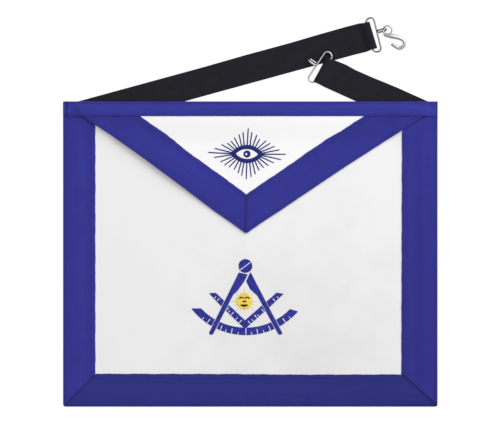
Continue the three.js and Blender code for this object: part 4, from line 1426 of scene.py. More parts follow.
@dataclass
class WebbingStrap:
    """A black webbing strap, folded back round a frame's bar at its free end."""

    course: Course
    side: Side
    wire_frame: FrameWire
    width: float = 30.0
    thickness: float = 1.36
    layer: float = 1.4
    sewn_in: float = 13.0
    edge_margin: float = 4.0
    fold_back: float = 20.5
    slack: float = 3.1
    taper: float = 6.2
    clearance: float = 0.45
    step_down: float = 11.5
    ramp: float = 52.0
    straight_from: float = 64.0
    left_spread: tuple[Pair, ...] = ((0.0, 0.0),)
    right_spread: tuple[Pair, ...] = ((0.0, 0.0),)

    @property
    def loop_radius(self) -> float:
        """Outer radius of the fold round the bar."""
        return self.wire_frame.wire / 2.0 + self.clearance + self.layer

    def side_line(self) -> Floats:
        """The strap's middle line seen from the side: distance from its end, and height.

        Returns:
            (n, 2), from where the strap runs straight, to the fold, round the bar and back
            along the folded layer, with its corners cut round.
        """
        radius, level = self.loop_radius, self.wire_frame.level
        half, near = self.layer / 2.0, self.loop_radius + self.slack
        angle = np.radians(np.linspace(90.0, 270.0, 13))
        nose = np.array([radius, level]) + (radius - half) * ways(angle)
        if self.side is Side.LEFT:
            first = [(self.straight_from, half), (self.fold_back + self.step_down, half),
                     (self.fold_back, 3.0 * half), (near + self.taper, 3.0 * half),
                     (near, level + radius - half)]
            last = [(near, level - radius + half), (near + self.taper, half),
                    (self.fold_back, half)]
            return rounded_line(np.concatenate([first, nose, last]), 3)
        raised = level - radius
        far = stations(self.straight_from, near + self.taper, 4.0)
        ground = raised * (1.0 - smooth(far, near, near + self.ramp))
        first = np.stack([far, ground + half], axis=-1)
        back = np.array([near + self.taper, self.fold_back])
        top = raised * (1.0 - smooth(back, near, near + self.ramp))
        last = [(near, level + radius - half), (near + self.taper, top[0] + 3.0 * half),
                (self.fold_back, top[1] + 3.0 * half)]
        return rounded_line(np.concatenate([first, [(near, raised + half)], nose[::-1], last]), 3)

    def section(self) -> tuple[Floats, Floats]:
        """The webbing's section: places across, and offsets as shares of half the thickness.

        Returns:
            Two arrays round the section, flat above and below with half-round edges.
        """
        half = self.thickness / 2.0
        edge = self.width / 2.0 - half
        across = np.linspace(-edge, edge, 41)
        turn = np.radians(np.linspace(90.0, -90.0, 9))[1:-1]
        brim = edge + half * np.cos(turn)
        places = np.concatenate([across, brim, across[::-1], -brim])
        offsets = np.concatenate([np.ones(41), np.sin(turn), -np.ones(41), -np.sin(turn)])
        return places, offsets

    def far_end(self, across: Floats) -> Floats:
        """Distance from the free end to where the strap is cut, inside the band."""
        course = self.course
        rise, run = course.ahead[1], course.ahead[0]
        lower = (course.end[1] + self.sewn_in + across * course.aside[1]) / rise
        limit = self.side.value * (203.0 - self.edge_margin)
        outer = (course.end[0] - limit + across * course.aside[0]) / run
        return np.minimum(lower, outer)

    def surface(self) -> Surface:
        """The webbing's section carried along its side line.

        Returns:
            A closed tube with flat ends. Past straight_from the rows are shared out up to
            the slanting cut, and the end's skew is added to the distance near the fold.
        """
        places, offsets = self.section()
        line = self.side_line()
        tangent = unit(np.gradient(line, axis=0))
        normal = np.stack([tangent[:, 1], -tangent[:, 0]], axis=-1)
        share = np.linspace(1.0, 0.0, 120)[:-1, None]
        far = self.far_end(places)[None]
        straight = self.straight_from + share * (far - self.straight_from)
        offset = offsets[None] * self.thickness / 2.0
        height = line[0, 1] + offset + 0.0 * share
        distance = np.concatenate([straight, line[:, :1] + normal[:, :1] * offset])
        height = np.concatenate([height, line[:, 1:] + normal[:, 1:] * offset])
        skew = places[None] * math.tan(math.radians(self.course.end_skew))
        distance = distance + skew * (1.0 - smooth(distance, self.fold_back, 2.0 * self.fold_back))
        course = self.course
        left, right = read_off(self.left_spread, distance), read_off(self.right_spread, distance)
        across = places * (1.0 + np.where(places > 0.0, left, right) / (self.width / 2.0))
        points = course.end - distance[..., None] * course.ahead
        points = points + across[..., None] * course.aside + height[..., None] * UP
        folded = walked(line)[:, None] + 0.0 * offset
        along = np.concatenate([-(straight - self.straight_from), folded])
        pattern = np.stack([along, places[None] + 0.0 * along], axis=-1)
        rows, ring = points.shape[:2]
        top = np.arange(40)
        strip = np.stack([88 - top, 87 - top, top + 1, top], axis=-1)
        edges = np.array([np.arange(48, 39, -1), [0, *range(95, 87, -1)]])
        last = (rows - 1) * ring
        caps = [strip, last + strip[:, ::-1], edges, last + edges[:, ::-1]]
        faces = [ring_walls(rows, ring), *caps]
        return Surface(points.reshape(-1, 3), faces, pattern.reshape(-1, 2)).turned_outwards()

    def build(self, finishes: Finishes) -> bpy.types.Object:
        """Makes the strap."""
        name = self.side.name.lower()
        return place(
            f"webbing_{name}", self.surface(), finishes[Finish.WEBBING], "black_webbing",
            Body.APRON, (f"strap_{name}",), crease=60.0,
        )


def rounded_line(line: Floats, rounds: int) -> Floats:
    """A line with its corners cut: each round replaces a side by its 1/4 and 3/4 points."""
    for _ in range(rounds):
        low = 0.75 * line[:-1] + 0.25 * line[1:]
        high = 0.25 * line[:-1] + 0.75 * line[1:]
        cut = np.stack([low, high], axis=1).reshape(-1, line.shape[1])
        line = np.concatenate([line[:1], cut, line[-1:]])
    return line


@dataclass(frozen=True)
class HookStation:
    """A place on the hook's middle line: shares of its drop, its thickness and its level."""

    ahead: float
    aside: float
    thick: float
    sink: float


HOOK_STATIONS = (
    HookStation(-0.195, -0.10, 0.58, 0.00),
    HookStation(-0.130, -0.20, 0.84, 0.00),
    HookStation(0.110, -0.32, 1.06, 0.06),
    HookStation(0.385, -0.455, 0.94, 0.22),
    HookStation(0.600, -0.62, 0.78, 0.38),
    HookStation(0.665, -0.80, 0.72, 0.45),
    HookStation(0.560, -0.965, 0.78, 0.43),
    HookStation(0.360, -1.00, 0.78, 0.43),
    HookStation(0.200, -0.88, 0.74, 0.45),
    HookStation(0.080, -0.765, 0.66, 0.50),
    HookStation(0.010, -0.70, 0.46, 0.56),
)


@dataclass
class SnakeHook:
    """The cast hook: a ring through the left eyelet and an S that tapers to its tip."""

    wire_frame: FrameWire
    drop: float = 22.0
    thickness: float = 5.0
    flatness: float = 0.9
    ring_radius: float = 4.75
    ring_width: float = 1.8
    ring_thickness: float = 1.9
    from_wire: float = 11.5
    ring_aside: float = -1.2

    def line(self, per_span: int = 16) -> tuple[Floats, Floats]:
        """The S's middle line and radii.

        Args:
            per_span: points between two stations.

        Returns:
            Points (n, 3) and radii (n,), by the Catmull-Rom cubic through the stations.
        """
        rows = np.array([(s.ahead, s.aside, s.thick, s.sink) for s in HOOK_STATIONS])
        padded = np.concatenate([2 * rows[:1] - rows[1:2], rows, 2 * rows[-1:] - rows[-2:-1]])
        t = np.linspace(0.0, 1.0, per_span, endpoint=False)[None, :, None]
        a, b, c, d = (padded[k : len(padded) - 3 + k, None] for k in range(4))
        square, cube = 2 * a - 5 * b + 4 * c - d, 3 * b - a - 3 * c + d
        cubic = 0.5 * (2 * b + (c - a) * t + square * t**2 + cube * t**3)
        whole = np.concatenate([cubic.reshape(-1, 4), rows[-1:]])
        points = np.stack([
            whole[:, 0] * self.drop, whole[:, 1] * self.drop, -whole[:, 3] * self.wire_frame.level
        ], axis=-1)
        return points, whole[:, 2] * self.thickness / 2.0

    def surface(self) -> Surface:
        """The ring and the S, whose last length rounds off to its tip."""
        turn = np.linspace(0.0, 2.0 * math.pi, 96, endpoint=False)
        circle = self.ring_radius * np.stack([np.cos(turn), np.sin(turn), 0.0 * turn], axis=-1)
        ring = tubes(
            circle[None], self.ring_width / 2.0, sides=24, closed=True,
            flatness=self.ring_thickness / self.ring_width,
        )
        points, radii = self.line()
        to_tip = np.linspace(len(points) / 9.0, 0.0, len(points))
        radii = radii * np.sqrt(np.clip(1.0 - (1.0 - np.clip(to_tip, 0.0, 1.0)) ** 2, 0.02, 1.0))
        body = tubes(points[None], radii[None], sides=28, flatness=self.flatness)
        whole = joined([ring, body])
        out = self.wire_frame.depth + self.from_wire
        aside = self.wire_frame.course.eyelet_at + self.ring_aside
        whole.points = self.wire_frame.to_plan(whole.points + np.array([out, aside, 0.0]))
        return whole

    def build(self, finishes: Finishes) -> bpy.types.Object:
        """Makes the hook as one cast piece."""
        piece = place(
            "cast_hook", self.surface(), finishes[Finish.CAST], "satin_metal", Body.LEFT_LOOP,
            ("snake_hook",),
        )
        run_together(piece, 0.15, 5)
        return piece


def crossings(starts: Floats, ends: Floats, y: Floats) -> tuple[Floats, Floats]:
    """Which edges cross the levels y, and at which x.

    Args:
        starts: first points of the edges, (n, 2).
        ends: their last points.
        y: levels, with a last axis of 1.

    Returns:
        Whether each edge crosses each level, and the x where its line does.
    """
    crosses = (starts[:, 1] <= y) != (ends[:, 1] <= y)
    rise = np.where(starts[:, 1] == ends[:, 1], 1.0, ends[:, 1] - starts[:, 1])
    return crosses, starts[:, 0] + (y - starts[:, 1]) / rise * (ends[:, 0] - starts[:, 0])


def inside(outline: Floats, points: Floats) -> Floats:
    """Whether points lie inside an outline, by the even-odd rule."""
    crosses, at = crossings(outline, np.roll(outline, -1, axis=0), points[..., 1, None])
    return (np.sum(crosses & (at > points[..., 0, None]), axis=-1) % 2) == 1


def trimmed(stitches: Floats, outline: Floats, least: float = 0.5) -> Floats:
    """Stitches without their parts inside an outline.

    Args:
        stitches: (n, 2, 2).
        outline: (m, 2).
        least: shortest part that is kept.

    Returns:
        The parts between neighbouring crossings whose middles lie outside.
    """
    start, run = stitches[:, :1], stitches[:, 1:] - stitches[:, :1]
    edge = np.roll(outline, -1, axis=0) - outline
    gap = outline - start
    area = run[..., 0] * edge[:, 1] - run[..., 1] * edge[:, 0]
    area = np.where(np.abs(area) < 1e-9, 1e-9, area)
    share = (gap[..., 0] * edge[:, 1] - gap[..., 1] * edge[:, 0]) / area
    on_edge = (gap[..., 0] * run[..., 1] - gap[..., 1] * run[..., 0]) / area
    meets = (on_edge >= 0.0) & (on_edge < 1.0) & (share > 0.0) & (share < 1.0)
    stops = np.pad(np.where(meets, share, 1.0), ((0, 0), (0, 1)), constant_values=1.0)
    stops = np.sort(np.pad(stops, ((0, 0), (1, 0))), axis=1)
    first, last = stops[:, :-1], stops[:, 1:]
    middle = start + ((first + last) / 2.0)[..., None] * run
    kept = (last - first) * np.linalg.norm(run, axis=-1) > least
    kept = kept & ~inside(outline, middle)
    row, part = np.nonzero(kept)
    ends = np.stack([first[row, part], last[row, part]], axis=1)
    return start[row] + ends[..., None] * run[row]


def grown(outline: Floats, margin: float) -> Floats:
    """An outline moved outwards by a margin, its corners on their bisectors."""
    ahead = unit(np.roll(outline, -1, axis=0) - outline)
    x, y = outline[:, 0], outline[:, 1]
    area = float(np.sum(x * np.roll(y, -1) - np.roll(x, -1) * y))
    out = np.stack([ahead[:, 1], -ahead[:, 0]], axis=-1) * math.copysign(1.0, area)
    before = np.roll(out, 1, axis=0)
    open_ = 1.0 + np.sum(out * before, axis=-1, keepdims=True)
    return outline + margin * (out + before) / np.maximum(open_, 0.6)


def lens(width: float, height: float, steps: int = 90) -> Floats:
    """A lens with pointed ends: its half height is (1 - (2x / width)^2) ^ 0.85 of the whole."""
    share = np.cos(np.linspace(0.0, 2.0 * math.pi, 2 * steps, endpoint=False))
    side = np.where(np.arange(2 * steps) < steps, 1.0, -1.0)
    bow = height / 2.0 * (1.0 - share**2) ** 0.85
    return np.stack([share * width / 2.0, side * bow], axis=-1)


def disc(radius: float, steps: int = 96) -> Floats:
    """A circle's outline."""
    turn = np.linspace(0.0, 2.0 * math.pi, steps, endpoint=False)
    return radius * ways(turn)


def hatched(outlines: list[Floats], heading: float, pitch: float, least: float = 0.5) -> Floats:
    """Parallel stitches that fill a shape, by the even-odd rule.

    Args:
        outlines: the shape's outlines, holes among them.
        heading: direction of the stitches, in degrees.
        pitch: distance between them.
        least: shortest stitch that is sewn.

    Returns:
        (stitches, 2, 2): each line meets the outlines at an even number of places, and each
        pair of places next to each other is one stitch.
    """
    turn = turning(heading)
    starts = np.concatenate(outlines) @ turn.T
    ends = np.concatenate([np.roll(line, -1, axis=0) for line in outlines]) @ turn.T
    levels = np.arange(starts[:, 1].min() + pitch / 2.0, starts[:, 1].max(), pitch)[:, None]
    crosses, at = crossings(starts, ends, levels)
    at = np.sort(np.where(crosses, at, np.inf), axis=1)
    at = at[:, : 2 * (at.shape[1] // 2)].reshape(len(levels), -1, 2)
    row, pair = np.nonzero(np.isfinite(at[..., 1]))
    spans = at[row, pair]
    level = levels[row, 0]
    whole = np.stack([np.stack([spans[:, k], level], axis=-1) for k in (0, 1)], axis=1)
    whole = whole[spans[:, 1] - spans[:, 0] > least]
    return whole @ turn


def columns(start: Floats, end: Floats, width: Floats, pitch: float, slant: float) -> Floats:
    """Satin columns along straight lines: short stitches across each line, slanted.

    Args:
        start: first points of the lines, (n, 2).
        end: last points.
        width: widths at the first and the last point, (2,).
        pitch: distance between the stitches.
        slant: how far a stitch's ends are moved along the line, as a share of its width.

    Returns:
        (stitches, 2, 2) for all the lines together.
    """
    rows = []
    for first, last in zip(start, end):
        run = last - first
        length = float(np.linalg.norm(run))
        ahead = run / length
        aside = np.array([-ahead[1], ahead[0]])
        share = (np.arange(0.0, length, pitch) + pitch / 2.0) / length
        middle = first + share[:, None] * run
        half = blend(width[0], width[1], share)[:, None] / 2.0
        reach = half * (aside + slant * ahead)
        rows.append(np.stack([middle - reach, middle + reach], axis=1))
    return np.concatenate(rows)


@dataclass
class Needlework:
    """Embroidery threads, laid close together over what they are sewn on.

    face gives the height of the leather at x and y.
    """

    centre: Pair
    face: Callable[[Floats, Floats], Floats]
    rise: float = 0.34
    pitch: float = 0.42
    radius: float = 0.25
    uneven: float = 0.10
    over: float = 0.12
    seed: int = 7

    def sewn(self, stitches: Floats, rise: float | None = None, radius: float | None = None,
             points: int = 7, sides: int = 6) -> Surface:
        """Stitches as threads that stand up in a dome.

        Args:
            stitches: (n, 2, 2), about the centre.
            rise: height of the dome over the face.
            radius: radius of the thread.
            points: points along a thread.
            sides: corners of its section.

        Returns:
            Tubes whose height over the face is rise * (1 - (2t - 1)^4) for t along a stitch.
        """
        rise = self.rise if rise is None else rise
        radius = self.radius if radius is None else radius
        chance = np.random.default_rng(self.seed)
        run = unit(stitches[:, 1] - stitches[:, 0])
        more = self.over + chance.uniform(-self.uneven, self.uneven, (len(stitches), 2))
        first = stitches[:, 0] - run * more[:, :1]
        last = stitches[:, 1] + run * more[:, 1:]
        share = np.linspace(0.0, 1.0, points)
        flat = first[:, None] + share[None, :, None] * (last - first)[:, None]
        bow = 1.0 - (2.0 * share - 1.0) ** 4
        lift = rise * (0.9 + 0.2 * chance.random((len(stitches), 1)))
        spots = flat + np.array(self.centre)
        height = self.face(spots[..., 0], spots[..., 1]) + 0.55 * radius + lift * bow
        spots = np.concatenate([spots, height[..., None]], axis=-1)
        thin = radius * (0.7 + 0.3 * np.sqrt(np.clip(1.0 - (2.0 * share - 1.0) ** 2, 0.0, 1.0)))
        return tubes(spots, thin[None], sides=sides, flatness=0.85)

    def laid(self, line: Floats, radii: Floats, level: float, flatness: float) -> Surface:
        """One flat thread along a line about the centre, at a level over the face."""
        spots = line + np.array(self.centre)
        points = np.concatenate([spots, self.face(*spots.T)[:, None] + level], axis=1)
        return tubes(points[None], radii[None], sides=8, flatness=flatness)


@dataclass
class Eye:
    """The eye with rays on the flap."""

    plan: Plan
    x: float = -3.6
    from_top: float = 57.0
    width: float = 35.5
    height: float = 19.5
    white_width: float = 24.0
    white_height: float = 10.9
    iris: float = 3.8
    glint: float = 1.3
    glint_at: Pair = (-0.8, -0.2)
    ray_width: float = 1.25
    per_quarter: int = 8
    tilt: float = -1.2
    tips: tuple[Pair, ...] = (
        (41.7, -0.3), (34.9, 4.5), (29.7, 8.1), (25.0, 11.5), (20.4, 14.0), (13.8, 15.9),
        (10.7, 20.4), (5.3, 23.3), (1.4, 27.4), (-4.3, 23.3), (-8.5, 21.0), (-13.6, 17.6),
        (-17.1, 13.8), (-21.2, 11.8), (-27.5, 10.2), (-35.0, 6.0), (-41.8, 1.6), (-35.7, -3.8),
        (-28.5, -8.5), (-24.2, -11.8), (-19.4, -14.2), (-14.0, -16.7), (-9.6, -20.4),
        (-5.8, -23.5), (-0.8, -26.9), (4.5, -24.7), (9.0, -21.7), (13.2, -17.9), (17.9, -14.7),
        (23.1, -12.5), (28.8, -9.5), (36.6, -6.1),
    )

    def needle(self) -> Needlework:
        """The needlework on the flap's face."""
        return Needlework((self.x, -self.from_top), self.plan.flap_top, rise=0.3)

    def rays(self) -> tuple[Floats, Floats]:
        """Where each ray starts, on the lids' outline, and its tip."""
        step = np.arange(4 * self.per_quarter)
        quarter = step // self.per_quarter
        within = (step % self.per_quarter) / self.per_quarter
        share = np.where(quarter % 2 == 1, 1.0 - within, within)
        sign_x = np.where((quarter == 1) | (quarter == 2), -1.0, 1.0)
        sign_y = np.where(quarter < 2, 1.0, -1.0)
        start = 1.0 - share**1.5
        rise = (1.0 - start**2) ** 0.85
        first = [sign_x * start * self.width / 2.0, sign_y * rise * self.height / 2.0]
        return 0.96 * np.stack(first, axis=-1) @ turning(self.tilt), np.array(self.tips)

    def build(self, finishes: Finishes) -> list[bpy.types.Object]:
        """Makes the lids with their rays, and the iris."""
        needle = self.needle()
        outlines = [lens(self.width, self.height), lens(self.white_width, self.white_height)]
        lids = hatched([line @ turning(self.tilt) for line in outlines], 90.0, needle.pitch)
        first, last = self.rays()
        rays = columns(first, last, np.array([1.0, 0.8]) * self.ray_width, 0.46, 0.5)
        core = needle.sewn(np.stack([first, last], axis=1), rise=0.02, radius=0.42, points=12)
        lid_threads = needle.sewn(lids)
        ray_threads = needle.sewn(rays, rise=0.12, radius=0.24, points=4, sides=5)
        spot = disc(self.glint) + np.array(self.glint_at)
        iris = needle.sewn(hatched([disc(self.iris), spot], 0.0, needle.pitch))
        return [
            place("eye_embroidery", joined([lid_threads, ray_threads, core]), finishes[Finish.NAVY],
                  "navy_thread", Body.APRON, ("eye_and_rays",), crease=80.0),
            place("iris_embroidery", iris, finishes[Finish.NAVY], "navy_thread", Body.APRON,
                  ("eye_iris",), crease=80.0),
        ]


@dataclass
class CraftEmblem:
    """Compasses over a square and a quadrant, with the sun between the legs."""

    plan: Plan
    pivot: Pair = (-5.3, -178.4)
    head: float = 7.4
    slit_turn: float = 36.5
    white: float = 0.75
    middle: float = 0.5
    mark_width: float = 0.75
    quadrant: float = 74.95
    quadrant_width: float = 8.0
    end_lines: tuple[Pair, Pair] = ((32.9, 0.29), (46.1, 0.0))
    arm_margin: float = 0.3
    sun_at: Pair = (-1.1, -38.3)
    sun: float = 8.75
    scallop: float = 0.3
    sun_reach: float = 14.2
    sun_short: float = 11.2
    left_leg: tuple[Pair, ...] = (
        (-7.1, -7.1), (2.4, -9.2), (-1.2, -16.5), (-8.8, -27.2), (-11.4, -29.3), (-13.4, -31.4),
        (-34.9, -73.4), (-35.7, -74.3), (-37.2, -74.6), (-38.6, -73.9), (-39.4, -72.5),
    )
    right_leg: tuple[Pair, ...] = (
        (5.5, -6.7), (39.9, -72.6), (39.6, -73.6), (38.5, -74.4), (36.9, -74.5), (35.6, -73.7),
        (13.7, -33.5), (12.9, -32.1), (11.4, -30.8), (5.1, -25.1), (0.8, -16.6), (3.8, -10.2),
    )
    arm_ends: tuple[tuple[Pair, Pair], ...] = (
        ((-38.9, -29.8), (-32.3, -29.5)), ((41.0, -30.3), (34.0, -29.3)),
    )
    arm_bows: tuple[Pair, Pair] = ((-26.5, -43.0), (27.4, -43.0))
    square_points: tuple[Pair, Pair] = ((-0.4, -68.0), (-0.4, -59.4))
    square_ticks: tuple[tuple[Pair, ...], ...] = (
        ((0.138, 2.4), (0.21, 3.9), (0.473, 3.9), (0.532, 2.4), (0.606, 4.1), (0.737, 2.6),
         (0.832, 4.3)),
        ((0.126, 2.4), (0.21, 3.9), (0.51, 3.9), (0.641, 2.4), (0.689, 4.1), (0.785, 2.6),
         (0.856, 4.3)),
    )
    quadrant_ticks: tuple[Pair, ...] = (
        (-39.2, 2.8), (-34.2, 5.6), (-21.8, 5.6), (-17.2, 2.8), (-12.3, 5.6), (-6.6, 2.8),
        (0.0, 7.6), (4.8, 2.8), (9.8, 5.6), (15.2, 2.8), (20.8, 5.6), (35.1, 5.6), (40.4, 2.8),
    )

    def needle(self, rise: float = 0.34) -> Needlework:
        """The needlework on the panel's face."""
        return Needlework(self.pivot, self.plan.panel_top, rise=rise)

    def legs(self) -> tuple[Floats, Floats]:
        """The outlines of the two legs about the pivot."""
        return np.array(self.left_leg), np.array(self.right_leg)

    def arms(self) -> list[Floats]:
        """The outlines of the square's two arms, each up to the mitre at the point."""
        point, inner = self.square_points
        return [
            grown(np.array([point, bow, outer_end, inner_end, inner]), self.arm_margin)
            for bow, (outer_end, inner_end) in zip(self.arm_bows, self.arm_ends)
        ]

    def arc_stitches(self, pitch: float) -> Floats:
        """The quadrant's stitches, all towards its centre, cut off at its ends.

        Args:
            pitch: distance between them along the outer edge.

        Returns:
            (stitches, 2, 2); each end line is y = -drop - slope * x about the centre.
        """
        turn = np.arange(0.3, math.pi - 0.3, pitch / self.quadrant)
        drop, slope = np.where(turn[:, None] < math.pi / 2.0, *self.end_lines).T
        way = np.stack([np.cos(turn), -np.sin(turn)], axis=-1)
        cut = drop / (np.sin(turn) - slope * np.cos(turn))
        near = np.maximum(self.quadrant - self.quadrant_width, cut)
        stitches = np.stack([way * near[:, None], way * self.quadrant], axis=1)
        return stitches[near < self.quadrant - 0.4] + np.array([self.middle, 0.0])

    def under_legs(self, stitches: Floats) -> Floats:
        """Stitches without their parts under the legs and the legs' white margins."""
        for leg in self.legs():
            stitches = trimmed(stitches, grown(leg, self.white))
        return stitches

    def marks(self) -> list[Floats]:
        """The pale marks as lines of two points: the square's, the quadrant's and the slit.

        Returns:
            Marks on the square and the quadrant, square to their outer edges, and last the
            line through the head of the compasses.
        """
        lines = []
        for (outer_end, _), ticks, side in zip(self.arm_ends, self.square_ticks, (-1.0, 1.0)):
            outer = np.array(outer_end)
            run = np.array(self.square_points[0]) - outer
            across = unit(np.array([run[1], -run[0]])) * side
            for share, length in ticks:
                lines.append((outer + share * run, outer + share * run + across * length))
        centre = np.array([self.middle, 0.0])
        for turn, length in self.quadrant_ticks:
            way = np.array([math.sin(math.radians(turn)), -math.cos(math.radians(turn))])
            lines.append((centre + way * self.quadrant, centre + way * (self.quadrant - length)))
        slit = level_way(self.slit_turn)[:2] * self.head
        lines.append((-slit, slit))
        return [np.array(line) for line in lines]

    def mark_surface(self) -> Surface:
        """The marks as flat pale threads that lie on the blue ones."""
        needle, lines = self.needle(), self.marks()
        radii = self.mark_width / 2.0 * np.array([0.75, *([1.0] * 10), 0.75])
        levels = [0.60] * (len(lines) - 1) + [0.78]
        return joined([
            needle.laid(resampled(line, 12), radii, level, 0.4)
            for line, level in zip(lines, levels)
        ])

    def face_lines(self) -> list[tuple[Floats, Floats]]:
        """The sun's face about its centre: curves with their radii.

        Returns:
            Two shut eyes that arch up, a nose that waves and a mouth that swells to its
            middle.
        """
        t = np.linspace(-1.0, 1.0, 21)
        swell = 1.0 - 0.55 * t**2
        eyes = [
            (np.stack([x + 2.2 * t, 4.4 - 1.4 * t**2], axis=-1), 0.62 + 0.3 * t**2)
            for x in (-3.1, 3.2)
        ]
        nose = (np.stack([2.2 * t, -0.2 + 0.35 * np.cos(2.0 * math.pi * t)], axis=-1), 0.85 * swell)
        mouth = (np.stack([-0.2 + 4.0 * t, -4.6 + 0.6 * t**2], axis=-1), 1.25 * swell)
        return [*eyes, nose, mouth]

    def sun_surfaces(self) -> tuple[Surface, Surface, Surface]:
        """The sun's scalloped disc, its rays and its face."""
        needle = self.needle(0.26)
        needle.centre = (self.pivot[0] + self.sun_at[0], self.pivot[1] + self.sun_at[1])
        needle.seed = 11
        around = np.linspace(0.0, 2.0 * math.pi, 193)[:-1, None]
        edge = (self.sun + self.scallop * np.cos(16.0 * around)) * np.concatenate(
            [np.cos(around), np.sin(around)], axis=1
        )
        whole = needle.sewn(hatched([edge], 90.0, 0.40))
        turn = np.radians(22.5 * np.arange(16))
        way = ways(turn)
        reach = np.where(np.arange(16) % 2 == 1, self.sun_short, self.sun_reach)
        rays = columns(way * self.sun, way * reach[:, None], np.array([1.0, 0.3]), 0.4, 0.4)
        ray_threads = needle.sewn(rays, rise=0.04, radius=0.18, points=4, sides=5)
        face = [needle.laid(line, radii, 0.68, 0.35) for line, radii in self.face_lines()]
        return whole, ray_threads, joined(face)

    def build(self, finishes: Finishes) -> list[bpy.types.Object]:
        """Makes the blue emblem, its pale marks, and the sun."""
        needle = self.needle()
        pitch = needle.pitch
        clear = disc(self.head + self.white)
        legs = np.concatenate([
            trimmed(hatched([leg], heading, pitch), clear)
            for leg, heading in zip(self.legs(), (-29.0, 28.0))
        ])
        arms = [hatched([arm], heading, pitch) for arm, heading in zip(self.arms(), (45.0, -43.0))]
        under = self.under_legs(np.concatenate([*arms, self.arc_stitches(pitch)]))
        head = hatched([disc(self.head)], 126.5, pitch)
        blue = joined([
            needle.sewn(legs), needle.sewn(under, rise=0.26), needle.sewn(head, rise=0.40)
        ])
        disc_threads, rays, face = self.sun_surfaces()
        return [
            place("emblem_embroidery", blue, finishes[Finish.BLUE], "blue_thread", Body.APRON,
                  ("craft_emblem",), crease=80.0),
            place("emblem_marks", self.mark_surface(), finishes[Finish.PALE], "white_leather",
                  Body.APRON, crease=80.0),
            place("sun_embroidery", disc_threads, finishes[Finish.YELLOW], "yellow_thread",
                  Body.APRON, ("sun_emblem",), crease=80.0),
            place("sun_rays", rays, finishes[Finish.RAY], "yellow_thread", Body.APRON, crease=80.0),
            place("sun_face", face, finishes[Finish.BROWN], "yellow_thread", Body.APRON,
                  crease=80.0),
        ]


@dataclass(frozen=True)
class AreaLight:
    """A soft light that points at the middle of the apron."""

    name: str
    place: tuple[float, float, float]
    size: float
    watts: float

    def build(self) -> None:
        """Adds the light."""
        light = bpy.data.lights.new(self.name, "AREA")
        light.shape = "DISK"
        light.size = self.size
        light.energy = self.watts
        lamp = bpy.data.objects.new(self.name, light)
        lamp.location = self.place
        away = np.array(self.place)
        flat = math.hypot(away[0], away[1])
        turn = math.atan2(away[1], away[0]) + math.pi / 2.0
        lamp.rotation_euler = (math.atan2(flat, away[2]), 0.0, turn)
        bpy.context.scene.collection.objects.link(lamp)


@dataclass
class Studio:
    """Camera straight above the apron, soft light from the upper right and a white floor."""

    centre: Pair = (-0.00036, -0.0001)
    height: float = 5.0
    view_width: float = 0.5423
    floor_size: float = 6.0
    floor_gap: float = 0.0001
    lean: float = 0.45
    lights: tuple[AreaLight, ...] = (
        AreaLight("key_light", (1.25, 1.05, 1.35), 2.0, 28.5),
        AreaLight("fill_light", (-1.3, 1.1, 2.2), 1.4, 9.0),
    )

    def camera(self) -> None:
        """Adds the camera and makes it the scene's."""
        lens_data = bpy.data.cameras.new("camera")
        lens_data.sensor_fit = "HORIZONTAL"
        lens_data.sensor_width = 36.0
        lens_data.lens = 36.0 * self.height / self.view_width
        lens_data.clip_end = 50.0
        eye = bpy.data.objects.new("camera", lens_data)
        eye.location = (*self.centre, self.height)
        bpy.context.scene.collection.objects.link(eye)
        bpy.context.scene.camera = eye

    def sky(self) -> None:
        """A pale surround, white overhead and to the right, darker low down and to the left."""
        world = bpy.data.worlds.new("surround")
        world.use_nodes = True
        tree = world.node_tree
        source = tree.nodes.new("ShaderNodeTexCoord")
        parts = tree.nodes.new("ShaderNodeSeparateXYZ")
        ramp = tree.nodes.new("ShaderNodeValToRGB")
        low, high = ramp.color_ramp.elements
        low.position, low.color = 0.12, (0.05, 0.05, 0.052, 1.0)
        high.position, high.color = 0.75, (1.0, 1.0, 1.0, 1.0)
        tree.links.new(source.outputs["Generated"], parts.inputs[0])
        lean = tree.nodes.new("ShaderNodeMath")
        lean.operation = "MULTIPLY_ADD"
        lean.inputs[1].default_value = self.lean
        tree.links.new(parts.outputs[0], lean.inputs[0])
        tree.links.new(parts.outputs[2], lean.inputs[2])
        tree.links.new(lean.outputs[0], ramp.inputs[0])
        backdrop = tree.nodes["Background"]
        backdrop.inputs["Strength"].default_value = 0.80
        tree.links.new(ramp.outputs[0], backdrop.inputs["Color"])
        bpy.context.scene.world = world

    def floor(self) -> None:
        """The floor, just under what the apron lies on."""
        half, level = self.floor_size / 2.0, -self.floor_gap
        mesh = bpy.data.meshes.new("floor")
        corners = [(-half, -half, level), (half, -half, level), (half, half, level),
                   (-half, half, level)]
        mesh.from_pydata(corners, [], [(0, 1, 2, 3)])
        mesh.materials.append(FloorFinish().material())
        ground = bpy.data.objects.new("floor", mesh)
        bpy.context.scene.collection.objects.link(ground)

    def build(self) -> None:
        """Sets up the studio."""
        self.camera()
        self.sky()
        self.floor()
        for light in self.lights:
            light.build()
        bpy.context.scene.view_settings.view_transform = "Standard"


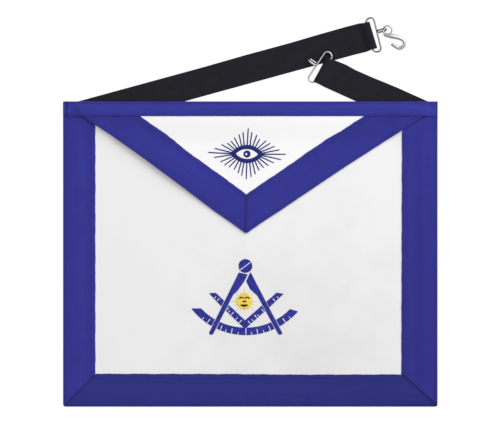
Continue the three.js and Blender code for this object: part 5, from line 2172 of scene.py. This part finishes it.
@dataclass
class Apron:
    """The whole apron: builds its pieces in order."""

    plan: Plan = field(default_factory=Plan)

    def hems(self) -> list[FoldedRibbon]:
        """The ribbons folded round the panel's edges."""
        plan = self.plan
        return [
            FoldedRibbon(plan, Side.LEFT, "border_left", plan.left_ribbon, 0.4, 0.45),
            FoldedRibbon(plan, Side.RIGHT, "border_right", plan.right_ribbon, 1.9, 0.8,
                         bows=((0.0, -0.5), (0.5, -0.15), (1.0, 0.25))),
            FoldedRibbon(plan, Side.BOTTOM, "border_bottom", plan.bottom_ribbon, 3.1, 0.6,
                         finish=Finish.BOTTOM_RIBBON,
                         bows=((0.0, 0.7), (0.45, 0.45), (0.65, -0.25), (1.0, 0.0))),
            FoldedRibbon(plan, Side.TOP, "top_band", plan.band_depth, 4.4, 0.3,
                         finish=Finish.BAND_RIBBON, outer_seam=2.6, inner_seam=2.2, wander=0.05,
                         back=plan.band_depth),
        ]

    def build(self, finishes: Finishes) -> None:
        """Makes every piece of the apron."""
        plan = self.plan
        panel = LeatherPanel(plan).build(finishes)
        hems = self.hems()
        ribbons = [hem.build(finishes) for hem in hems]
        flap = Flap(plan)
        leather, flap_ribbons = flap.build(finishes)
        frames = {
            Side.LEFT: FrameWire(LEFT_COURSE, Side.LEFT, Body.LEFT_LOOP, twist=32.0),
            Side.RIGHT: FrameWire(RIGHT_COURSE, Side.RIGHT, Body.RIGHT_LOOP),
        }
        straps = [
            WebbingStrap(
                LEFT_COURSE, Side.LEFT, frames[Side.LEFT],
                left_spread=((6.0, 0.0), (12.0, 1.1), (26.0, 1.36), (60.0, 1.05), (90.0, 0.45),
                             (139.0, 0.55), (185.0, 0.0)),
                right_spread=((6.0, 0.0), (12.0, 0.7), (26.0, 0.4), (215.0, 0.5)),
            ),
            WebbingStrap(
                RIGHT_COURSE, Side.RIGHT, frames[Side.RIGHT],
                left_spread=((6.0, 0.0), (12.0, 0.4), (50.0, 0.5)),
                right_spread=((6.0, 0.0), (14.0, 0.9), (24.0, 1.35), (36.0, 0.35), (60.0, 0.7),
                              (72.0, 1.2), (86.0, 1.55)),
            ),
        ]
        webbings = [strap.build(finishes) for strap in straps]
        for wire_frame in frames.values():
            wire_frame.build(finishes)
        SnakeHook(frames[Side.LEFT]).build(finishes)
        eye = Eye(plan).build(finishes)
        emblem = CraftEmblem(plan).build(finishes)
        stitching = Stitching()
        seams = stitching.build(
            "hem_stitches", [path for hem in hems for path in hem.seam_paths()],
            finishes[Finish.RIBBON_THREAD], "blue_ribbon",
        )
        flap_seams = stitching.build(
            "flap_stitches", flap.seam_paths(Side.LEFT) + flap.seam_paths(Side.RIGHT),
            finishes[Finish.RIBBON_THREAD], "blue_ribbon",
        )


def main() -> None:
    """Builds the studio and the apron."""
    logging.basicConfig(level=logging.INFO, format="%(name)s %(message)s")
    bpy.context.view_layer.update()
    Studio().build()
    Apron().build({finish: finish.value.material() for finish in Finish})
    LOG.info("sizes written")


if __name__ == "__main__":
    main()
